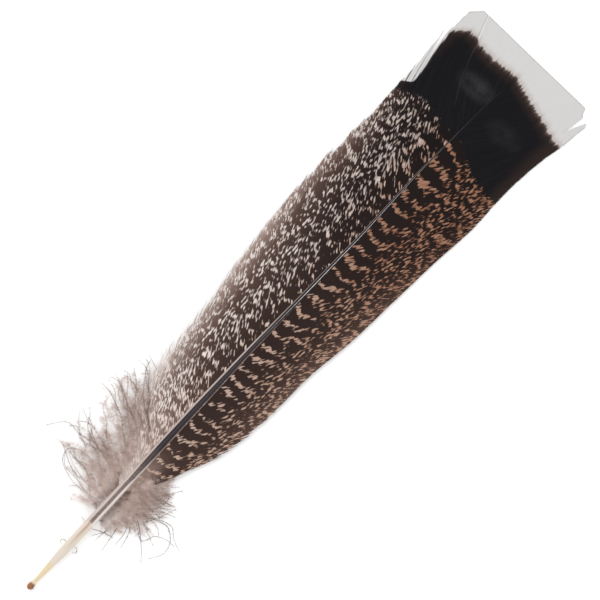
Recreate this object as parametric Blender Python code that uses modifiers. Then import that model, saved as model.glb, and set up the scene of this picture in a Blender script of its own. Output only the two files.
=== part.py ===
"""A wild turkey's tail feather, lying on its underside with the upper side showing.

The quill points to -Y and the straight-trimmed tip to +Y. The shaft bows up between its two ends, and the
last stretch of both vanes lies flat on the surface at Z = 0. Lengths are in millimetres in the constants and
turned into metres by MM. "Station" means the distance from the quill end along the feather, and "offset" the
distance to the right of the straight line from quill end to tip, as seen from above.
"""

import math

import bmesh
import bpy
from mathutils import Matrix, Vector

MM = 0.001

# Driving dimensions
LENGTH = 330.0  # quill end to cut tip
BOW = 5.5  # how far the shaft's underside rises above the surface
BOW_PEAK = 144.0  # station of the highest point of the bow
FLAT_FROM = 288.0  # from this station to the tip the vanes lie flat
SINK_FROM = 250.0  # from here the vanes' seat on the shaft comes down to the surface
VANE_THICKNESS = 0.6
GAP = 0.3  # clearance between neighbouring pieces
SEAT = 1.1  # height of a vane's inner edge on the shaft, as a multiple of the shaft's radius
EDGE_LIFT = 0.25  # height of a vane's outer edge, as a share of the bow

# The shaft: (station, offset, radius), from the sealed nub at the quill end to the end of the rachis
SHAFT = (
    (0.0, 0.1, 0.5),
    (0.6, 0.1, 1.25),
    (1.7, 0.1, 1.6),
    (2.9, 0.1, 1.25),
    (4.2, 0.1, 0.8),
    (9.0, 0.1, 1.05),
    (15.7, 0.0, 1.5),
    (22.5, 0.0, 2.1),
    (41.0, -0.2, 2.2),
    (67.0, -0.6, 2.1),
    (90.0, -1.1, 2.1),
    (112.0, -1.5, 2.0),
    (147.0, -1.8, 1.5),
    (180.0, -1.5, 1.2),
    (219.0, -1.3, 0.85),
    (256.0, -2.1, 0.6),
    (279.0, -1.7, 0.42),
    (298.0, -1.2, 0.3),
    (317.0, 0.4, 0.2),
)
SHAFT_STEP = 4.0  # spacing of the shaft's rings above the nub
NUB_END = 4.2  # below this station every listed ring is kept

# Outer edges of the vanes: (station, offset)
LEFT_EDGE = (
    (110.0, -27.5),
    (126.0, -28.5),
    (153.0, -30.6),
    (180.0, -34.2),
    (207.0, -36.2),
    (234.0, -36.7),
    (261.0, -35.9),
    (288.0, -36.2),
    (300.0, -37.0),
    (308.0, -37.8),
    (316.0, -36.4),
    (325.5, -35.2),
    (330.0, -31.5),
)
RIGHT_EDGE = (
    (72.0, 9.0),
    (80.0, 14.0),
    (92.0, 18.0),
    (106.0, 22.8),
    (126.0, 25.0),
    (153.0, 26.2),
    (180.0, 28.1),
    (207.0, 30.0),
    (234.0, 31.6),
    (261.0, 33.3),
    (288.0, 33.8),
    (301.0, 35.8),
    (315.0, 36.9),
    (323.6, 37.9),
    (327.0, 33.8),
    (330.0, 31.8),
)
# Where each vane begins: its station beside the shaft and at its outer edge
LEFT_START = (70.0, 112.0)
RIGHT_START = (74.0, 86.0)

# Partings of the web: (apex, one rim point, other rim point), each a (station, offset)
LEFT_PARTINGS = (
    ((283.0, -31.5), (301.5, -38.6), (303.0, -37.4)),
    ((276.0, -33.0), (286.0, -37.4), (287.4, -36.4)),
)
RIGHT_PARTINGS = (((314.6, 31.9), (323.6, 37.9), (327.0, 33.75)),)
PARTING_REACH = 1.35  # how far a parting's cutter runs past the rim

# Outlines of the tufts of down: (station, offset), going round from the foot beside the shaft
LEFT_DOWN = (
    (48.0, -3.4),
    (49.0, -13.0),
    (56.0, -27.0),
    (70.0, -34.0),
    (86.0, -38.0),
    (100.0, -34.5),
    (98.0, -25.0),
    (83.0, -15.0),
    (69.0, -6.0),
)
RIGHT_DOWN = (
    (46.0, 3.0),
    (46.0, 14.0),
    (56.0, 25.0),
    (68.0, 25.0),
    (74.0, 13.0),
    (67.0, 3.6),
)
DOWN_HEIGHT = 7.5
DOWN_CROWN = 0.62  # size of a tuft's crown against its base
DOWN_SMOOTHING = 2  # subdivision levels of a tuft

ROWS = 72  # vane faces along the feather
COLUMNS = 9  # vane faces from the shaft to the edge
SHAFT_SIDES = 3  # bevel resolution of the shaft


def smooth_step(low, high, value):
    """0 below low, 1 above high, with level ends between."""
    t = min(1.0, max(0.0, (value - low) / (high - low)))
    return t * t * (3 - 2 * t)


def follow(points, station, column=1):
    """The value in a column of a table of stations, read straight between its points."""
    if station <= points[0][0]:
        return points[0][column]
    for here, there in zip(points, points[1:]):
        if station <= there[0]:
            t = (station - here[0]) / (there[0] - here[0])
            return here[column] + (there[column] - here[column]) * t
    return points[-1][column]


def bow(station):
    """Height of the shaft's underside above the surface."""
    wave = math.sin(math.pi * min(max(station, 0.0), 2 * BOW_PEAK) / (2 * BOW_PEAK))
    return BOW * (wave if station < BOW_PEAK else wave * wave)


def shaft_radius(station):
    return follow(SHAFT, station, 2)


def shaft_height(station):
    """Height of the shaft's centre line."""
    return bow(station) + shaft_radius(station)


def vane_height(station, share):
    """Height of a vane's underside: share is 0 beside the shaft and 1 at the outer edge."""
    seat = SEAT * shaft_radius(station) * (1 - smooth_step(SINK_FROM, FLAT_FROM, station))
    inner = bow(station) + seat
    outer = EDGE_LIFT * bow(station)
    return inner + (outer - inner) * share * share


def place(station, offset, height):
    """A point of the feather in metres, before the whole is centred."""
    return Vector((offset * MM, station * MM, height * MM))


def finish(name, colour, roughness):
    """A plain material."""
    made = bpy.data.materials.new(name)
    made.use_nodes = True
    shader = made.node_tree.nodes["Principled BSDF"]
    shader.inputs["Base Color"].default_value = (*colour, 1.0)
    shader.inputs["Roughness"].default_value = roughness
    shader.inputs["Metallic"].default_value = 0.0
    return made


def collection(name):
    made = bpy.data.collections.new(name)
    bpy.context.scene.collection.children.link(made)
    return made


def mesh_object(name, mesh, group, material=None):
    made = bpy.data.objects.new(name, mesh)
    group.objects.link(made)
    if material:
        mesh.materials.append(material)
    return made


def build_shaft(group, material):
    """The quill and rachis: one tapering round tube on the bowed centre line, with a nub at its foot."""
    stations = [row[0] for row in SHAFT if row[0] <= NUB_END]
    count = round((SHAFT[-1][0] - NUB_END) / SHAFT_STEP)
    step = (SHAFT[-1][0] - NUB_END) / count
    stations += [NUB_END + step * (i + 1) for i in range(count)]

    curve = bpy.data.curves.new("shaft_line", "CURVE")
    curve.dimensions = "3D"
    curve.bevel_depth = MM
    curve.bevel_resolution = SHAFT_SIDES
    curve.use_fill_caps = True
    line = curve.splines.new("POLY")
    line.points.add(len(stations) - 1)
    nub_height = max(row[2] for row in SHAFT if row[0] <= NUB_END)
    for point, station in zip(line.points, stations):
        height = max(nub_height, shaft_height(station)) if station <= NUB_END else shaft_height(station)
        point.co = (*place(station, follow(SHAFT, station), height), 1.0)
        point.radius = shaft_radius(station)
    curve.materials.append(material)
    made = bpy.data.objects.new("shaft", curve)
    group.objects.link(made)
    return made


def flat_prism(name, corners, group):
    """A tall prism over a flat outline, used as a cutter."""
    curve = bpy.data.curves.new(name, "CURVE")
    curve.dimensions = "2D"
    curve.fill_mode = "BOTH"
    curve.extrude = LENGTH * MM / 8
    outline = curve.splines.new("POLY")
    outline.points.add(len(corners) - 1)
    outline.use_cyclic_u = True
    for point, corner in zip(outline.points, corners):
        point.co = (*place(*corner, 0.0), 1.0)
    drawn = bpy.data.objects.new(name + "_outline", curve)
    group.objects.link(drawn)
    bpy.context.view_layer.update()
    graph = bpy.context.evaluated_depsgraph_get()
    mesh = bpy.data.meshes.new_from_object(drawn.evaluated_get(graph))
    bpy.data.objects.remove(drawn)
    work = bmesh.new()
    work.from_mesh(mesh)
    bmesh.ops.remove_doubles(work, verts=work.verts, dist=0.01 * MM)
    bmesh.ops.recalc_face_normals(work, faces=work.faces)
    work.to_mesh(mesh)
    work.free()
    made = mesh_object(name, mesh, group)
    made.hide_render = True
    made.display_type = "WIRE"
    return made


def part_web(vane, partings, cutters):
    """Cuts a narrow wedge out of the vane at each parting of its barbs."""
    for number, (apex, first, second) in enumerate(partings, 1):
        rims = [
            (
                apex[0] + (rim[0] - apex[0]) * PARTING_REACH,
                apex[1] + (rim[1] - apex[1]) * PARTING_REACH,
            )
            for rim in (first, second)
        ]
        cutter = flat_prism(f"{vane.name}_parting_{number}", (apex, *rims), cutters)
        cut = vane.modifiers.new(f"parting_{number}", "BOOLEAN")
        cut.operation = "DIFFERENCE"
        cut.object = cutter


def build_vane(name, side, edge, start, group, material):
    """One vane: a grid bent to the web's outline and camber, thickened upwards."""
    work = bmesh.new()
    bmesh.ops.create_grid(work, x_segments=COLUMNS, y_segments=ROWS, size=0.5)
    for vert in work.verts:
        share = vert.co.x + 0.5
        along = vert.co.y + 0.5
        low = start[0] + (start[1] - start[0]) * share
        station = low + (LENGTH - low) * along
        past_shaft = station > SHAFT[-1][0]
        clear = GAP / 2 if past_shaft else shaft_radius(station) + GAP
        inner = follow(SHAFT, station) + side * clear
        offset = inner + (follow(edge, station) - inner) * share
        vert.co = place(station, offset, vane_height(station, share))
    if side < 0:
        bmesh.ops.reverse_faces(work, faces=work.faces)
    mesh = bpy.data.meshes.new(name)
    work.to_mesh(mesh)
    work.free()
    made = mesh_object(name, mesh, group, material)
    skin = made.modifiers.new("thickness", "SOLIDIFY")
    skin.thickness = VANE_THICKNESS * MM
    skin.offset = 1.0
    return made


def build_down(name, outline, group, material):
    """A tuft of down: a soft low pillow on a flat base, from a coarse cage."""
    work = bmesh.new()
    rim = [work.verts.new(place(*corner, 0.0)) for corner in outline]
    base = work.faces.new(rim)
    raised = bmesh.ops.extrude_face_region(work, geom=[base], use_keep_orig=True)["geom"]
    crown = [item for item in raised if isinstance(item, bmesh.types.BMVert)]
    middle = sum((vert.co for vert in crown), Vector()) / len(crown)
    bmesh.ops.scale(
        work, vec=(DOWN_CROWN, DOWN_CROWN, 1), space=Matrix.Translation(-middle), verts=crown
    )
    bmesh.ops.translate(work, vec=(0, 0, DOWN_HEIGHT * MM), verts=crown)
    crease = work.edges.layers.float.new("crease_edge")
    for vert in rim:
        for edge in vert.link_edges:
            if all(end in rim for end in edge.verts):
                edge[crease] = 1.0
    bmesh.ops.recalc_face_normals(work, faces=work.faces)
    mesh = bpy.data.meshes.new(name)
    work.to_mesh(mesh)
    work.free()
    made = mesh_object(name, mesh, group, material)
    soft = made.modifiers.new("softness", "SUBSURF")
    soft.levels = DOWN_SMOOTHING
    soft.render_levels = DOWN_SMOOTHING
    return made


def centre(pieces):
    """Parents the pieces to an empty that puts the middle of the whole feather's base at the origin."""
    bpy.context.view_layer.update()
    graph = bpy.context.evaluated_depsgraph_get()
    corners = []
    for piece in pieces:
        seen = piece.evaluated_get(graph)
        mesh = seen.to_mesh()
        corners += [seen.matrix_world @ vert.co for vert in mesh.vertices]
        seen.to_mesh_clear()
    low = Vector(min(point[axis] for point in corners) for axis in range(3))
    high = Vector(max(point[axis] for point in corners) for axis in range(3))
    origin = bpy.data.objects.new("feather_origin", None)
    bpy.context.scene.collection.objects.link(origin)
    for piece in pieces:
        piece.parent = origin
    origin.location = (-(low.x + high.x) / 2, -(low.y + high.y) / 2, -low.z)


def main():
    for item in list(bpy.data.objects):
        bpy.data.objects.remove(item)
    feather = collection("turkey_tail_feather")
    cutters = collection("cutters")
    horn = finish("horn", (0.45, 0.37, 0.3), 0.35)
    web = finish("barred_web", (0.09, 0.06, 0.05), 0.7)
    fluff = finish("down", (0.5, 0.42, 0.38), 0.9)

    shaft = build_shaft(feather, horn)
    left = build_vane("vane_left", -1, LEFT_EDGE, LEFT_START, feather, web)
    right = build_vane("vane_right", 1, RIGHT_EDGE, RIGHT_START, feather, web)
    part_web(left, LEFT_PARTINGS, cutters)
    part_web(right, RIGHT_PARTINGS, cutters)
    down = [
        build_down("down_left", LEFT_DOWN, feather, fluff),
        build_down("down_right", RIGHT_DOWN, feather, fluff),
    ]
    centre([shaft, left, right, *down])


main()
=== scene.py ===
"""Looks of a barred turkey tail feather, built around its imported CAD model.

The feather lies along +Y with its upper side up. Lengths here are millimetres until a mesh is made.
"Station" is the distance from the quill end along the feather, "offset" the distance to the right of the
quill end, "out" the distance from the shaft's middle and "inset" the distance from a vane's outer edge.
Every barb of both vanes is a thin closed blade, and so is every downy barb, with fine spikes as barbules.
"""

import logging
import math
from dataclasses import dataclass, field, replace
from enum import Enum
from functools import cached_property
from typing import Union

import bpy
import numpy as np
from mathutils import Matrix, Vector


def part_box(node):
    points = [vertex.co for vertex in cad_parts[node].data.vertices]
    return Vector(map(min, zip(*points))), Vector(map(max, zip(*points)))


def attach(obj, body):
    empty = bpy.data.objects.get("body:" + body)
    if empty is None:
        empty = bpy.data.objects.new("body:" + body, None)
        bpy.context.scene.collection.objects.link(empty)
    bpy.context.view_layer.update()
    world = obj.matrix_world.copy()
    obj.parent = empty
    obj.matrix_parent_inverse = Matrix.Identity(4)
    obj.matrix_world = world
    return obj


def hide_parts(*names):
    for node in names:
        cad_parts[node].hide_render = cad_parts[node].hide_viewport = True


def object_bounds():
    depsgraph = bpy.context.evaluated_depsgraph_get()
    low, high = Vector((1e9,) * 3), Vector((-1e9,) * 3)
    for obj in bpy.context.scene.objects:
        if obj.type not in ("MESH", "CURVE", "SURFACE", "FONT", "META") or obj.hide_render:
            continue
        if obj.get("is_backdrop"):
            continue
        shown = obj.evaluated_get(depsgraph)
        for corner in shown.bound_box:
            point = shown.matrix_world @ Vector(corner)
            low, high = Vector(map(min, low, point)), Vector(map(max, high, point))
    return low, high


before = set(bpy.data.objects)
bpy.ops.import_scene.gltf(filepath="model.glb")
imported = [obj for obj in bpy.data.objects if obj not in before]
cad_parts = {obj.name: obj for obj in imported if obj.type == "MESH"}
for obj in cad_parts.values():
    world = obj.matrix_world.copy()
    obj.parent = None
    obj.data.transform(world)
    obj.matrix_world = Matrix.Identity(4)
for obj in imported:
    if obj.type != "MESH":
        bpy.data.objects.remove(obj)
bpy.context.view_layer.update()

MM = 0.001
LOG = logging.getLogger("feather")

# What stands in for the random number of a loose strand of down, and of a strand by itself.
LOOSE = -0.5
LONE = -1.0

# How much of a texture map's width each side of a vane takes, and how far right the underside's part lies.
MAP_HALF = 0.49
MAP_UNDER = 0.505

Points = tuple[tuple[float, float], ...]
Colour = tuple[float, float, float]
Spot = tuple[float, float, float]


class Side(Enum):
    """Which side of the shaft a piece grows from, as the sign of its offset."""

    LEFT = -1
    RIGHT = 1


class Slot(Enum):
    """The record's material slots."""

    SHAFT = "shaft"
    VANE = "vane"
    DOWN = "down"


# ---------------------------------------------------------------- small maths


def ease(value: np.ndarray | float, low: float, high: float) -> np.ndarray:
    """Rises smoothly from 0 at low to 1 at high.

    Args:
        value: The numbers to ease.
        low: Where the rise starts.
        high: Where it ends.

    Returns:
        The eased numbers.
    """
    share = np.clip((value - low) / (high - low), 0.0, 1.0)
    return share * share * (3.0 - 2.0 * share)


def curve_through(points: Points, at: np.ndarray) -> np.ndarray:
    """Reads a smooth curve through points.

    Args:
        points: (position, value) pairs in rising order of position.
        at: Positions to read.

    Returns:
        The values, level beyond both ends.
    """
    where, value = np.array(points).T
    slope = np.gradient(value, where)
    at = np.clip(at, where[0], where[-1])
    left = np.clip(np.searchsorted(where, at) - 1, 0, len(where) - 2)
    span = where[left + 1] - where[left]
    t = (at - where[left]) / span
    return (
        value[left] * (2 * t**3 - 3 * t**2 + 1)
        + slope[left] * span * (t**3 - 2 * t**2 + t)
        + value[left + 1] * (3 * t**2 - 2 * t**3)
        + slope[left + 1] * span * (t**3 - t**2)
    )


def curve_at(points: Points, place: float) -> float:
    """One value of the smooth curve through points."""
    return float(curve_through(points, np.array([place]))[0])


def straight_through(points: Points, at: np.ndarray | float) -> np.ndarray:
    """Values of straight lines through points, level beyond both ends."""
    return np.interp(at, *np.array(points).T)


def unit(vectors: np.ndarray) -> np.ndarray:
    """Directions of the vectors along the last axis."""
    return vectors / (np.linalg.norm(vectors, axis=-1, keepdims=True) + 1e-9)


def rightward(along: np.ndarray) -> np.ndarray:
    """Flat vectors a quarter turn to the right of (offset, station) vectors."""
    return np.stack([along[..., 1], -along[..., 0]], axis=-1)


def drift(rng: np.random.Generator, count: int, knots: int) -> np.ndarray:
    """A smooth random wander around zero.

    Args:
        rng: Source of random numbers.
        count: How many values to give.
        knots: How many free values the wander passes through, at least 2.

    Returns:
        The values, about -1 to 1.
    """
    knots = max(knots, 2)
    free = rng.normal(0.0, 0.5, knots + 1)
    along = np.linspace(0.0, knots, count)
    left = np.minimum(along.astype(int), knots - 1)
    share = ease(along - left, 0.0, 1.0)
    return free[left] * (1 - share) + free[left + 1] * share


def srgb(red: int, green: int, blue: int) -> Colour:
    """A display colour of 0 to 255 a channel as the linear colour that a shader takes."""

    def linear(channel: float) -> float:
        """One channel, from display to linear."""
        return channel / 12.92 if channel <= 0.04045 else ((channel + 0.055) / 1.055) ** 2.4

    return linear(red / 255), linear(green / 255), linear(blue / 255)


# ---------------------------------------------------------------- the frame


@dataclass(frozen=True)
class ShaftLine:
    """The shaft's middle line and radius, read from the rings of the CAD shaft."""

    station: np.ndarray
    offset: np.ndarray
    height: np.ndarray
    radius: np.ndarray
    origin: tuple[float, float]

    @classmethod
    def read(cls, node: str, ring_break: float = 0.2) -> "ShaftLine":
        """Finds the rings of the CAD shaft.

        Args:
            node: The shaft's node.
            ring_break: A step along the feather longer than this, in mm, starts a new ring.

        Returns:
            The line.
        """
        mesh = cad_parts[node].data
        points = np.empty(len(mesh.vertices) * 3)
        mesh.vertices.foreach_get("co", points)
        points = points.reshape(-1, 3) / MM
        points = points[points[:, 1].argsort()]
        rings = np.split(points, np.flatnonzero(np.diff(points[:, 1]) > ring_break) + 1)
        low = np.array([ring.min(0) for ring in rings])
        high = np.array([ring.max(0) for ring in rings])
        middle = (low + high) / 2
        reach = np.array(
            [np.hypot(*(ring - centre)[:, [0, 2]].T).max() for ring, centre in zip(rings, middle)]
        )
        origin = (middle[0, 0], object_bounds()[0].y / MM)
        return cls(
            station=middle[:, 1] - origin[1],
            offset=middle[:, 0] - origin[0],
            height=middle[:, 2],
            radius=reach,
            origin=origin,
        )

    @property
    def end(self) -> float:
        """Station of the shaft's thin end."""
        return float(self.station[-1])

    def offset_at(self, station: np.ndarray) -> np.ndarray:
        """Offset of the middle line."""
        return np.interp(station, self.station, self.offset)

    def radius_at(self, station: np.ndarray) -> np.ndarray:
        """Radius of the shaft."""
        return np.interp(station, self.station, self.radius)

    def height_at(self, station: np.ndarray) -> np.ndarray:
        """Height of the middle line."""
        return np.interp(station, self.station, self.height)

    def to_world(self, plan: np.ndarray, height: np.ndarray) -> np.ndarray:
        """Places points of the feather.

        Args:
            plan: (offset, station) pairs in mm.
            height: Heights above the surface in mm.

        Returns:
            Points in metres in the CAD frame.
        """
        world = np.column_stack([plan[:, 0] + self.origin[0], plan[:, 1] + self.origin[1], height])
        return world * MM


# ---------------------------------------------------------------- fibre meshes


@dataclass(frozen=True)
class Tags:
    """What the finishes read at each ring of a blade or each spike.

    Attributes:
        plan: (inset, station, out), or (offset, station, out) in the down.
        lie: (root station, arc along the barb, random number of the barb).
    """

    plan: np.ndarray
    lie: np.ndarray


@dataclass
class FibreMesh:
    """Gathers blades and spikes into one mesh of closed bodies, with the tags that its finish reads."""

    line: ShaftLine
    points: list[np.ndarray] = field(default_factory=list)
    plans: list[np.ndarray] = field(default_factory=list)
    lies: list[np.ndarray] = field(default_factory=list)
    faces: list[list[int]] = field(default_factory=list)
    uvs: list[np.ndarray] = field(default_factory=list)
    total: int = 0

    def add_points(self, places: np.ndarray, tags: Tags) -> None:
        """Adds points.

        Args:
            places: (offset, station, height) of the points, shaped (rings, points of a ring, 3).
            tags: The tags of each ring.
        """
        rings, each, _ = places.shape
        flat = places.reshape(-1, 3)
        self.points.append(self.line.to_world(flat[:, :2], flat[:, 2]))
        self.plans.append(np.repeat(tags.plan, each, axis=0))
        self.lies.append(np.repeat(tags.lie, each, axis=0))
        self.total += rings * each

    def add_blade(
        self,
        centre: np.ndarray,
        width: np.ndarray,
        ridge: np.ndarray,
        tags: Tags,
        chart: np.ndarray,
        under_shift: float,
        cut: np.ndarray | None = None,
    ) -> None:
        """Adds a long blade with a ridge on top and a flat underside.

        Args:
            centre: (offset, station, height) of each ring.
            width: Half width of each ring.
            ridge: Height of the ridge over each ring.
            tags: The tags of each ring.
            chart: Texture coordinates of each ring's three points, shaped (rings, 3, 2).
            under_shift: How far to the right the underside's texture coordinates lie.
            cut: Direction along which its end is cut, or nothing for a square end.
        """
        rings = len(centre)
        right = unit(rightward(np.gradient(centre, axis=0)))
        if cut is not None:
            right[-1] = cut / max(float(cut @ right[-1]), 0.35)
        reach = np.column_stack([right * width[:, None], np.zeros(rings)])
        crest = centre.copy()
        crest[:, 2] += ridge
        start, last = self.total, 3 * (rings - 1)
        self.add_points(np.stack([centre - reach, crest, centre + reach], axis=1), tags)

        first = 3 * np.arange(rings - 1)[:, None]
        chart = chart.reshape(-1, 2)
        under = chart + (under_shift, 0.0)
        for corners, shown in (((0, 1, 4, 3), chart), ((1, 2, 5, 4), chart), ((2, 0, 3, 5), under)):
            self.faces.extend((start + first + np.array(corners)).tolist())
            self.uvs.append(shown[first + np.array(corners)].reshape(-1, 2))
        for corners in ((0, 2, 1), (last, last + 1, last + 2)):
            self.faces.append([start + corner for corner in corners])
            self.uvs.append(chart[list(corners)])

    def add_spikes(
        self, root: np.ndarray, tip: np.ndarray, width: float, tags: Tags, chart: np.ndarray
    ) -> None:
        """Adds many thin spikes, each a closed pyramid on a triangle.

        Args:
            root: (offset, station, height) of each spike's foot.
            tip: The same of each spike's point.
            width: Width of a foot.
            tags: The tags of each spike.
            chart: One texture coordinate for each spike.
        """
        along = tip - root
        right = unit(np.cross(along, (0.0, 0.0, 1.0)))
        up = unit(np.cross(right, along))
        foot = [root - right * width / 2, root + up * width / 2, root + right * width / 2]
        first = self.total + 4 * np.arange(len(root))
        self.add_points(np.stack([*foot, tip], axis=1), tags)
        for corners in ((0, 2, 1), (0, 1, 3), (1, 2, 3), (2, 0, 3)):
            self.faces.extend((first[:, None] + np.array(corners)).tolist())
            self.uvs.append(np.repeat(chart, 3, axis=0))

    def build(self, name: str, material: bpy.types.Material, slot: Slot) -> bpy.types.Object:
        """Makes the object.

        Args:
            name: The piece's name.
            material: Its finish.
            slot: The record's slot for it.

        Returns:
            The object, riding on the feather.
        """
        mesh = bpy.data.meshes.new(name)
        mesh.from_pydata(np.concatenate(self.points).tolist(), [], self.faces)
        layer = mesh.uv_layers.new(name="OFBake")
        layer.data.foreach_set("uv", np.concatenate(self.uvs).astype(np.float32).ravel())
        return dress(mesh, self.plans, self.lies, material, slot)


def dress(
    mesh: bpy.types.Mesh,
    plans: list[np.ndarray],
    lies: list[np.ndarray],
    material: bpy.types.Material,
    slot: Slot,
) -> bpy.types.Object:
    """Puts a mesh in the scene as a piece of the feather, under the mesh's name.

    Args:
        mesh: The mesh.
        plans: The "plan" of its points, in batches.
        lies: The "lie" of its points, in batches.
        material: Its finish.
        slot: Not used.

    Returns:
        The object.
    """
    for title, rows in (("plan", plans), ("lie", lies)):
        values = mesh.attributes.new(title, "FLOAT_VECTOR", "POINT")
        values.data.foreach_set("vector", np.concatenate(rows).astype(np.float32).ravel())
    mesh.materials.append(material)
    piece = bpy.data.objects.new(mesh.name, mesh)
    bpy.context.scene.collection.objects.link(piece)
    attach(piece, "root")
    LOG.info("%s: %d faces", piece.name, len(mesh.polygons))
    return piece


# ---------------------------------------------------------------- shader graphs


class Signal:
    """A value that runs through a shader graph, with the usual arithmetic."""

    def __init__(self, graph: "Graph", socket: bpy.types.NodeSocket) -> None:
        """Keeps the graph and the socket that the value comes from."""
        self.graph = graph
        self.socket = socket

    def __add__(self, other: "Value") -> "Signal":
        """The sum."""
        return self.graph.math("ADD", self, other)

    def __sub__(self, other: "Value") -> "Signal":
        """The difference."""
        return self.graph.math("SUBTRACT", self, other)

    def __rsub__(self, other: "Value") -> "Signal":
        """The difference from a plain number."""
        return self.graph.math("SUBTRACT", other, self)

    def __mul__(self, other: "Value") -> "Signal":
        """The product."""
        return self.graph.math("MULTIPLY", self, other)

    def __truediv__(self, other: "Value") -> "Signal":
        """The quotient."""
        return self.graph.math("DIVIDE", self, other)

    def size(self) -> "Signal":
        """The value without its sign."""
        return self.graph.math("ABSOLUTE", self)

    def rise(self, low: "Value", high: "Value") -> "Signal":
        """0 below low, 1 above high, smooth between."""
        ends = {"Value": self, "From Min": low, "From Max": high}
        return self.graph.through("ShaderNodeMapRange", ends, interpolation_type="SMOOTHSTEP")

    def fall(self, low: "Value", high: "Value") -> "Signal":
        """1 below low, 0 above high, smooth between."""
        return 1.0 - self.rise(low, high)


Value = Union[float, Colour, Signal]


class Graph:
    """Lays out the nodes of a material or a node group."""

    def __init__(self, tree: bpy.types.NodeTree) -> None:
        """Works on a node tree."""
        self.tree = tree

    def node(self, kind: str, **settings: object) -> bpy.types.Node:
        """Adds a node of a kind, with properties set on it."""
        made = self.tree.nodes.new(kind)
        for key, value in settings.items():
            setattr(made, key, value)
        return made

    def feed(self, socket: bpy.types.NodeSocket, value: Value) -> None:
        """Links a signal into a socket, or sets a plain value on it."""
        if isinstance(value, Signal):
            self.tree.links.new(value.socket, socket)
        elif socket.type == "RGBA":
            socket.default_value = (*value, 1.0)
        else:
            socket.default_value = value

    def fill(self, node: bpy.types.Node, **values: Value) -> None:
        """Feeds a node's inputs by name, with spaces as underscores."""
        for key, value in values.items():
            self.feed(node.inputs[key.replace("_", " ")], value)

    def through(
        self, kind: str, inputs: dict[int | str, Value], output: int = 0, **settings: object
    ) -> Signal:
        """Runs values through a new node.

        Args:
            kind: The node's type.
            inputs: What its inputs take, by number or name.
            output: Number of the output to read.
            settings: Properties to set on it.

        Returns:
            What it gives.
        """
        made = self.node(kind, **settings)
        for key, value in inputs.items():
            self.feed(made.inputs[key], value)
        return Signal(self, made.outputs[output])

    def math(self, operation: str, first: Value, second: Value = 0.0) -> Signal:
        """A Math node."""
        return self.through("ShaderNodeMath", {0: first, 1: second}, operation=operation)

    def mix(self, share: Value, first: Value, second: Value) -> Signal:
        """A blend of two colours."""
        return self.through("ShaderNodeMix", {0: share, 6: first, 7: second}, 2, data_type="RGBA")

    def blend(self, share: Value, first: Value, second: Value) -> Signal:
        """A blend of two numbers."""
        return self.through("ShaderNodeMix", {0: share, 2: first, 3: second}, data_type="FLOAT")

    def split(self, vector: Signal) -> tuple[Signal, Signal, Signal]:
        """The three numbers of a vector."""
        made = self.node("ShaderNodeSeparateXYZ")
        self.feed(made.inputs[0], vector)
        return tuple(Signal(self, output) for output in made.outputs)

    def noise(self, x: Value, y: Value, z: Value = 0.0, detail: float = 1.0) -> Signal:
        """Noise around zero, about -1 to 1, over coordinates that are already scaled."""
        place = self.through("ShaderNodeCombineXYZ", {0: x, 1: y, 2: z})
        level = self.through("ShaderNodeTexNoise", {"Vector": place, "Scale": 1.0, "Detail": detail})
        return (level - 0.5) * 3.0

    def attribute(self, name: str) -> Signal:
        """A vector attribute of the mesh."""
        made = self.node("ShaderNodeAttribute", attribute_name=name)
        return Signal(self, made.outputs["Vector"])

    def curve(self, value: Signal, points: Points, low: float = 0.0, high: float = 1.0) -> Signal:
        """A smooth curve of a distance.

        Args:
            value: The distance, from 0 to the last point's.
            points: (distance, result) pairs.
            low: The least result that the curve can give.
            high: The greatest.

        Returns:
            The result.
        """
        made = self.node("ShaderNodeFloatCurve")
        far = points[-1][0]
        line = made.mapping.curves[0]
        for place, level in points[1:-1]:
            line.points.new(place / far, (level - low) / (high - low))
        for end, (place, level) in ((0, points[0]), (-1, points[-1])):
            line.points[end].location = (place / far, (level - low) / (high - low))
        made.mapping.update()
        self.feed(made.inputs["Value"], value / far)
        return Signal(self, made.outputs[0]) * (high - low) + low

    def ramp(self, value: Signal, tones: tuple[tuple[float, Colour], ...]) -> Signal:
        """A colour for each value.

        Args:
            value: The value, from 0 to 1.
            tones: (value, colour) pairs in rising order.

        Returns:
            The colour.
        """
        made = self.node("ShaderNodeValToRGB")
        stops = made.color_ramp.elements
        for stop, (place, colour) in zip((stops[0], stops[-1]), (tones[0], tones[-1])):
            stop.position = place
            stop.color = (*colour, 1.0)
        for place, colour in tones[1:-1]:
            stops.new(place).color = (*colour, 1.0)
        self.feed(made.inputs[0], value)
        return Signal(self, made.outputs[0])

    def use(self, group: bpy.types.NodeTree, **values: Value) -> list[Signal]:
        """Places a node group.

        Args:
            group: The group.
            values: What its inputs take, by name, with spaces as underscores.

        Returns:
            What it gives, in the order of its outputs.
        """
        made = self.node("ShaderNodeGroup", node_tree=group)
        self.fill(made, **values)
        return [Signal(self, output) for output in made.outputs]


@dataclass(frozen=True)
class Place:
    """Where a point of a fibre lies, as signals of a graph.

    Attributes:
        graph: The graph.
        plan: The "plan" of the point.
        lie: The "lie" of the point.
        inset: Distance from the vane's outer edge, or in the down the offset.
        station: Distance from the quill end.
        out: Distance from the shaft's middle.
        root: Station of the barb's root.
        arc: Distance along the barb.
        chance: Random number of the barb.
    """

    graph: Graph
    plan: Signal
    lie: Signal
    inset: Signal
    station: Signal
    out: Signal
    root: Signal
    arc: Signal
    chance: Signal

    @classmethod
    def split(cls, graph: Graph, plan: Signal, lie: Signal) -> "Place":
        """Takes "plan" and "lie" apart."""
        return cls(graph, plan, lie, *graph.split(plan), *graph.split(lie))

    @classmethod
    def read(cls, graph: Graph) -> "Place":
        """Reads the place from the mesh."""
        return cls.split(graph, graph.attribute("plan"), graph.attribute("lie"))


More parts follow.
